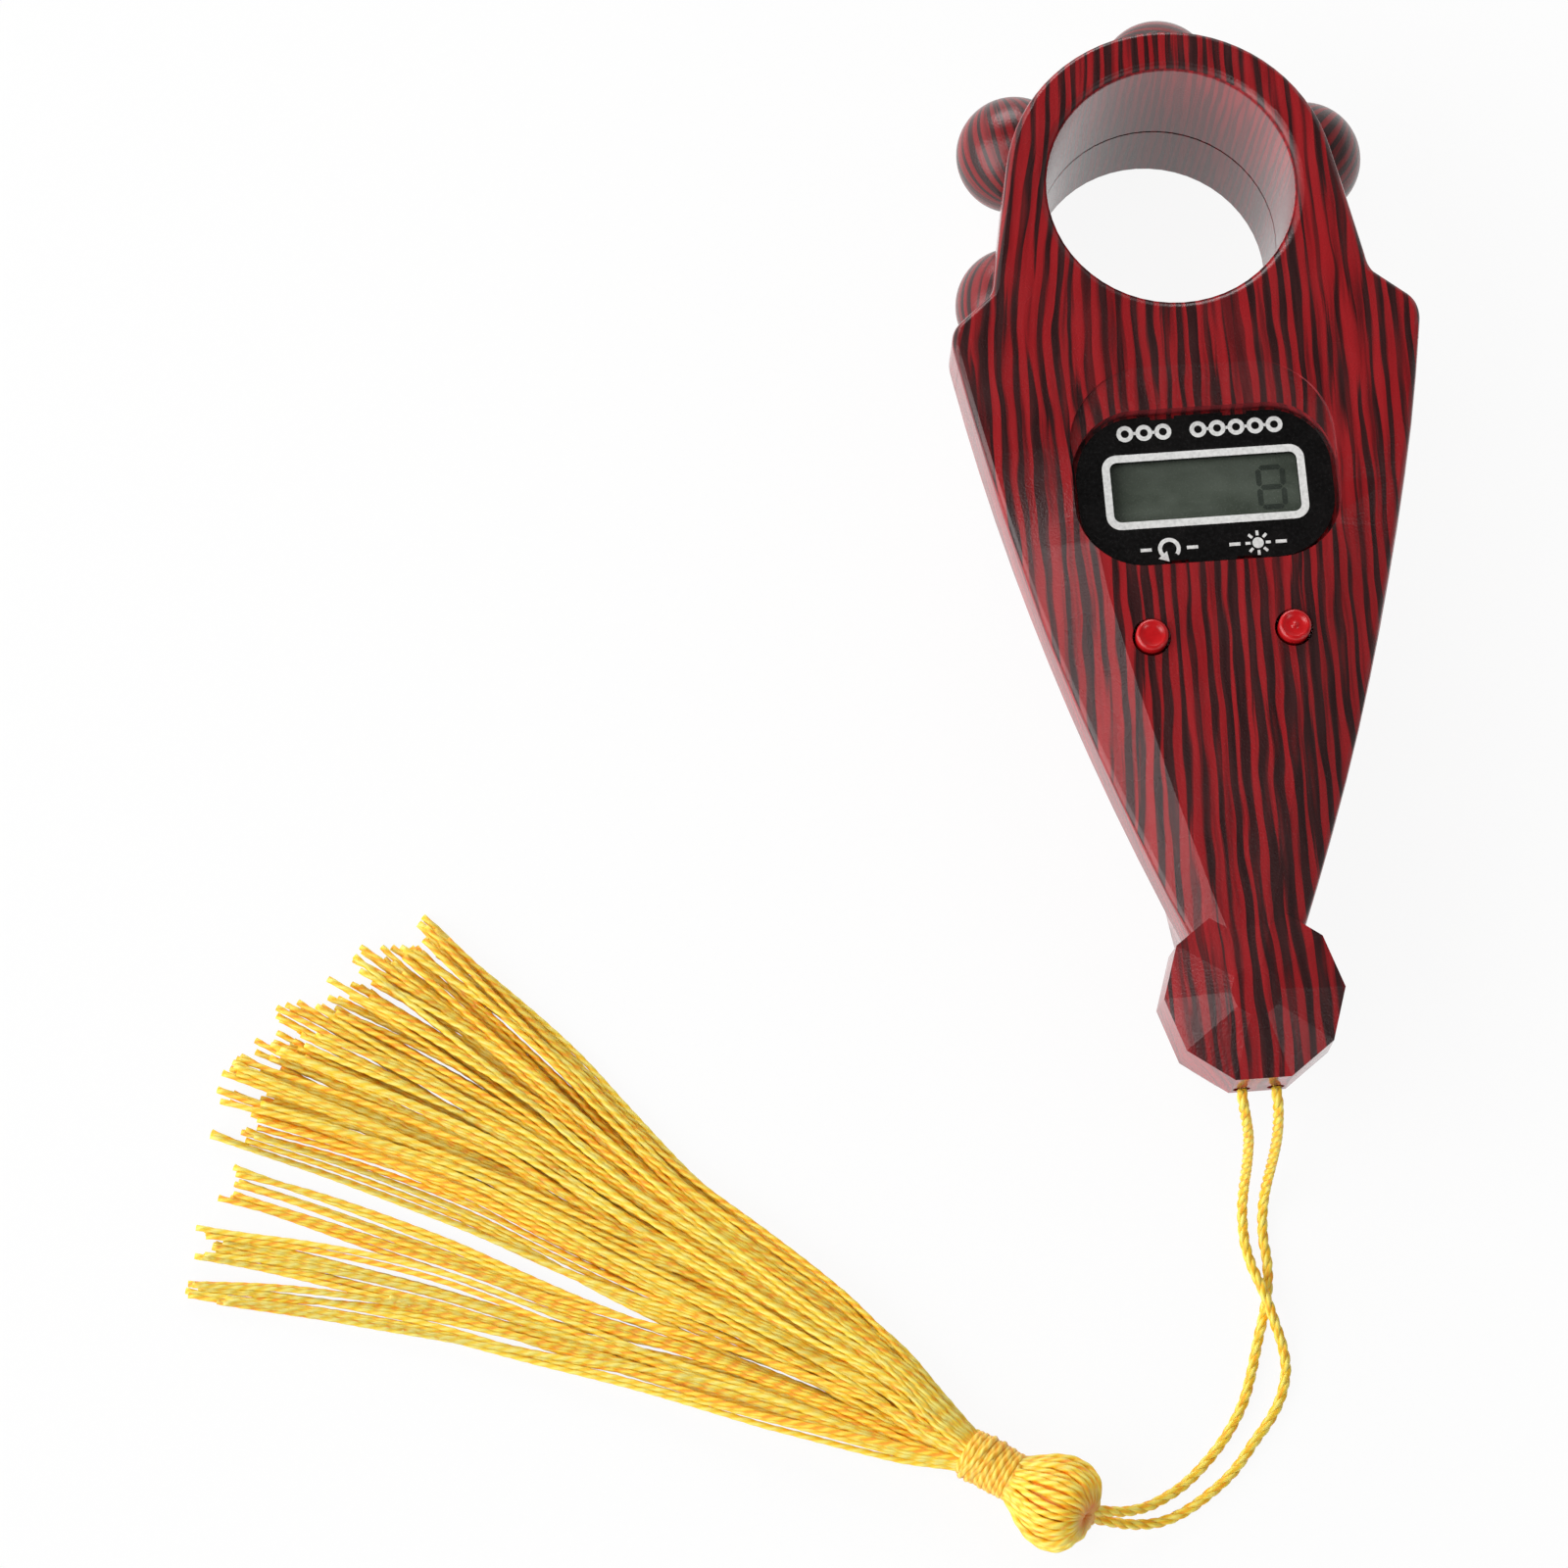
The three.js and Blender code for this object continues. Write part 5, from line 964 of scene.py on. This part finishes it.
def button_cap(name, node, body, nub):
    """A dished cap over its flange, turned about its own axis. The nub is a raised dot in the dish."""
    low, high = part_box(node)
    x, y = (low.x + high.x) / 2 / MM, (low.y + high.y) / 2 / MM - RING_Y
    base, top = low.z / MM, high.z / MM
    profile = [
        (0, base), (FLANGE_RADIUS, base), (FLANGE_RADIUS, base + FLANGE_THICKNESS),
        (CAP_RADIUS, base + FLANGE_THICKNESS), (CAP_RADIUS, top - CAP_EDGE)]
    for k in range(1, 7):
        turn = math.pi / 2 * k / 6
        profile.append((
            CAP_RADIUS - CAP_EDGE * (1 - math.cos(turn)), top - CAP_EDGE * (1 - math.sin(turn))))
    profile += [(1.16, top - 0.03), (1.02, top - 0.09), (0.6, top - 0.12)]
    profile += [(0.24, top - 0.11), (0.16, top - 0.03), (0, top - 0.02)] if nub else [(0, top - 0.13)]
    corners, faces, sides = [], [], 64
    for r, z in profile:
        if r == 0:
            corners.append(at(x, y, z))
        else:
            turns = [2 * math.pi * s / sides for s in range(sides)]
            corners += [at(x + r * math.cos(turn), y + r * math.sin(turn), z) for turn in turns]
    rows = []
    count = 0
    for r, z in profile:
        rows.append((count, 1 if r == 0 else sides))
        count += rows[-1][1]
    for (a, na), (b, nb) in zip(rows, rows[1:]):
        for s in range(sides):
            n = (s + 1) % sides
            if na == 1:
                faces.append((a, b + n, b + s))
            elif nb == 1:
                faces.append((a + s, a + n, b))
            else:
                faces.append((a + s, a + n, b + n, b + s))
    cap = add_piece(name, corners, faces, BUTTON_RED)
    cap.data.set_sharp_from_angle(angle=math.radians(50))
    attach(cap, body)
    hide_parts(node)


button_cap("reset_cap", "reset_button", "reset_key", False)
button_cap("light_cap", "light_button", "light_key", True)


# Two patterned finishes inside the case

def strip_rubber():
    """Silicone rubber strip in layers: dark conducting lines 0.2 mm thick, drawn at 0.5 mm to show."""
    made, tree, place = start_finish("layered silicone rubber")
    x = add_node(tree, "ShaderNodeSeparateXYZ", {0: place}).outputs[0]
    layer = calc(tree, "SINE", calc(tree, "MULTIPLY", x, 2 * math.pi / (0.5 * MM)))
    tint = add_node(tree, "ShaderNodeValToRGB", {"Fac": calc(tree, "MULTIPLY_ADD", layer, 0.5, 0.5)}, stops=[
        (0.42, "#1a1a1b"), (0.58, "#8b8f92")]).outputs[0]
    skin = grain(tree, place, 0.3)
    relief = add_node(tree, "ShaderNodeBump", {
        "Height": skin, "Strength": 0.5, "Distance": 0.02 * MM}).outputs[0]
    close_finish(tree, add_node(tree, "ShaderNodeBsdfPrincipled", {
        "Base Color": tint, "Roughness": 0.7, "IOR": 1.41, "Normal": relief}))
    return made


def masked_board():
    """Glass-epoxy board under green solder mask: copper tracks show through it as lighter lines."""
    made, tree, place = start_finish("solder-masked glass epoxy")
    sized = add_node(tree, "ShaderNodeVectorMath", {
        0: place, 1: (1000.0,) * 3}, operation="MULTIPLY").outputs[0]
    tracks = add_node(tree, "ShaderNodeTexBrick", {
        "Vector": sized, "Scale": 1.0, "Mortar Size": 0.14, "Brick Width": 3.6, "Row Height": 1.3,
        "Color1": colour("#1d5630"), "Color2": colour("#235f37"), "Mortar": colour("#3f8a52")}).outputs[0]
    weave = grain(tree, place, 0.5, 3.0)
    relief = add_node(tree, "ShaderNodeBump", {
        "Height": weave, "Strength": 0.4, "Distance": 0.02 * MM}).outputs[0]
    gloss = add_node(tree, "ShaderNodeMapRange", {"Value": weave, "To Min": 0.22, "To Max": 0.46}).outputs[0]
    close_finish(tree, add_node(tree, "ShaderNodeBsdfPrincipled", {
        "Base Color": tracks, "Roughness": gloss, "IOR": 1.52, "Normal": relief}))
    return made


# The parts that keep their own shape, and what each is made of

for names, finish in (
        # Gloss polycarbonate label, reverse black: deep and even, with faint rubbing
        ("display_label", plain_finish(
            "gloss black polycarbonate label", ("#080707", "#0d0c0c", "#141212"), (0.16, 0.30), 3, 0.35,
            0.004)),
        # Unlit display behind its polariser: a cool green-grey, a little cloudy
        ("lcd_panel", plain_finish(
            "polarised display glass", ("#41483f", "#4d544b", "#555c53"), (0.20, 0.30), (5, 3, 5), 0.25,
            0.002, ior=1.52)),
        ("battery_door", CASE_FILM),
        # Tinted ABS hub, moulded: dull brown-red with a slight swirl
        ("wheel_hub", plain_finish(
            "moulded brown ABS hub", ("#241010", "#321617", "#3c1b1b"), (0.42, 0.56), 2.5, 0.3)),
        # Moulded ABS: a dull black with a fine texture
        ("lcd_holder reset_switch light_switch", plain_finish(
            "moulded black ABS", ("#121213", "#19191a", "#202022"), (0.42, 0.58), 2, 0.25)),
        # Moulded acetal: a waxy white with a low shine
        ("reset_plunger light_plunger slip_washer", plain_finish(
            "moulded white acetal", ("#d5d4cc", "#e2e1da", "#eae9e3"), (0.36, 0.5), 2, 0.25)),
        # Zinc plate on steel: a cool grey, a little cloudy
        ("case_screw_1 case_screw_2 case_screw_3 board_screw_1 board_screw_2 battery_door_screw",
         plain_finish(
             "zinc-plated steel", ("#8f9295", "#b2b4b6", "#c6c8c9"), (0.26, 0.42), 0.8, 0.12, 0.01,
             metallic=1.0)),
        # Nickel plate on a drawn steel can: a warmer grey, finely brushed
        ("battery_cell_1 battery_cell_2", plain_finish(
            "nickel-plated cell can", ("#a8a8a4", "#c4c4c0", "#d2d2ce"), (0.18, 0.32), (3, 3, 1),
            (0.6, 0.08, 0.6), 0.005, metallic=1.0)),
        # Rolled brass strip: yellow, with fine rolling marks
        ("contact_ring wiper_contacts battery_link battery_contact_plus battery_contact_minus",
         plain_finish(
             "rolled spring brass", ("#9a7b34", "#b8964a", "#c9a95c"), (0.24, 0.4), 1.5, (1.2, 0.08, 0.1),
             0.005, metallic=1.0)),
        ("zebra_strip", strip_rubber()),
        ("circuit_board", masked_board()),
        # Epoxy dropped over the die: a shallow black blob with a soft shine
        ("counter_chip", plain_finish(
            "black epoxy blob", ("#0e0e10", "#151517", "#1d1d20"), (0.22, 0.34), 1.5, 0.5)),
        # Opal acrylic light guide, cast: milky, with a soft edge to its gloss
        ("backlight_diffuser", plain_finish(
            "opal acrylic", ("#dfe0da", "#ebece6", "#f1f2ee"), (0.28, 0.4), 2, 0.3, 0.01, ior=1.49)),
        # Cast epoxy lamp: pale and glossy
        ("backlight_led", plain_finish(
            "clear epoxy lamp", ("#d8dccb", "#e6e9da", "#eff1e4"), (0.15, 0.25), 0.6, 0.2, 0.01)),
        # Extruded PVC: plain colours with a dull shine
        ("battery_wire_plus", plain_finish(
            "red PVC wire cover", ("#9c1418", "#b81a1e", "#c52024"), (0.38, 0.5), 1, 0.2, ior=1.53)),
        ("battery_wire_minus", plain_finish(
            "black PVC wire cover", ("#101011", "#171718", "#1f1f20"), (0.38, 0.5), 1, 0.2, ior=1.53))):
    for name in names.split():
        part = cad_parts[name]
        if not part.material_slots:
            part.data.materials.append(finish)
        for slot in part.material_slots:
            slot.material = finish


# Table, backdrop light and lamps

def table_top():
    """White seamless paper, matt, with a faint tooth. The eye and the gloss see it lifted to white,
    with the object's shadow still on it."""
    made, tree, place = start_finish("white seamless paper")
    tooth = grain(tree, place, 0.8, 3.0)
    tint = add_node(tree, "ShaderNodeValToRGB", {"Fac": tooth}, stops=[
        (0.3, "#ededec"), (0.7, "#f2f2f1")]).outputs[0]
    relief = add_node(tree, "ShaderNodeBump", {
        "Height": tooth, "Strength": 0.2, "Distance": 0.03 * MM}).outputs[0]
    paper = add_node(tree, "ShaderNodeBsdfPrincipled", {
        "Base Color": tint, "Roughness": 0.9, "Specular IOR Level": 0.2, "Normal": relief}).outputs["BSDF"]
    white = add_node(tree, "ShaderNodeEmission", {"Color": (1, 1, 1, 1), "Strength": 1.0}).outputs[0]
    ray = add_node(tree, "ShaderNodeLightPath").outputs
    seen = calc(tree, "MAXIMUM", ray["Is Camera Ray"], calc(
        tree, "MAXIMUM", ray["Is Glossy Ray"], ray["Is Transmission Ray"]))
    lift = calc(tree, "MULTIPLY", seen, 0.92)
    lifted = add_node(tree, "ShaderNodeMixShader", {0: lift, 1: paper, 2: white})
    add_node(tree, "ShaderNodeOutputMaterial", {"Surface": lifted.outputs[0]})
    half = 1.6
    corners = [(-half, -half, 0), (half, -half, 0), (half, half, 0), (-half, half, 0)]
    floor = add_piece("table", corners, [(0, 1, 2, 3)], made)


def room_light():
    """A pale room: brighter towards the horizon and on the left, dimmer overhead where the camera stands."""
    world = bpy.data.worlds.new("pale room")
    bpy.context.scene.world = world
    world.use_nodes = True
    tree = world.node_tree
    tree.nodes.clear()
    way = add_node(tree, "ShaderNodeTexCoord").outputs["Generated"]
    rightward, _, height = add_node(tree, "ShaderNodeSeparateXYZ", {0: way}).outputs
    level = add_node(tree, "ShaderNodeValToRGB", {"Fac": height}, stops=[
        (0.0, "#ffffff"), (0.45, "#e4e4e4"), (0.74, "#7c7c7c"), (0.90, "#3a3a3a")]).outputs[0]
    strength = calc(tree, "MULTIPLY_ADD", rightward, -0.40, 0.86)
    lit = add_node(tree, "ShaderNodeBackground", {"Color": level, "Strength": strength}).outputs[0]
    add_node(tree, "ShaderNodeOutputWorld", {"Surface": lit})


PRODUCT = Vector((0.0, -0.005, 0.026))   # where the lamps point
LAMP_DISTANCE = 1.2


def softbox(name, way, size, radiance):
    """A rectangular lamp in a direction from the product, sized in metres and facing it."""
    lamp = bpy.data.lights.new(name, "AREA")
    lamp.shape = "RECTANGLE"
    lamp.size, lamp.size_y = size
    lamp.energy = radiance * math.pi * size[0] * size[1]
    stand = bpy.data.objects.new(name, lamp)
    stand.location = PRODUCT + Vector(way).normalized() * LAMP_DISTANCE
    stand.rotation_euler = (PRODUCT - stand.location).to_track_quat("-Z", "Y").to_euler()
    bpy.context.scene.collection.objects.link(stand)


table_top()
room_light()
softbox("strip_on_the_left", (-0.27, 0.06, 0.96), (0.28, 0.34), 5.0)
softbox("small_one_on_the_right", (0.38, -0.13, 0.92), (0.22, 0.22), 3.6)
softbox("wide_one_on_the_left", (-0.80, -0.20, 0.55), (1.20, 1.10), 3.1)
softbox("wide_one_low_on_the_right", (0.60, -0.60, 0.45), (0.50, 0.50), 0.8)
softbox("wide_one_behind", (-0.15, 0.90, 0.40), (0.80, 0.50), 5.0)

bpy.context.scene.view_settings.view_transform = "Standard"
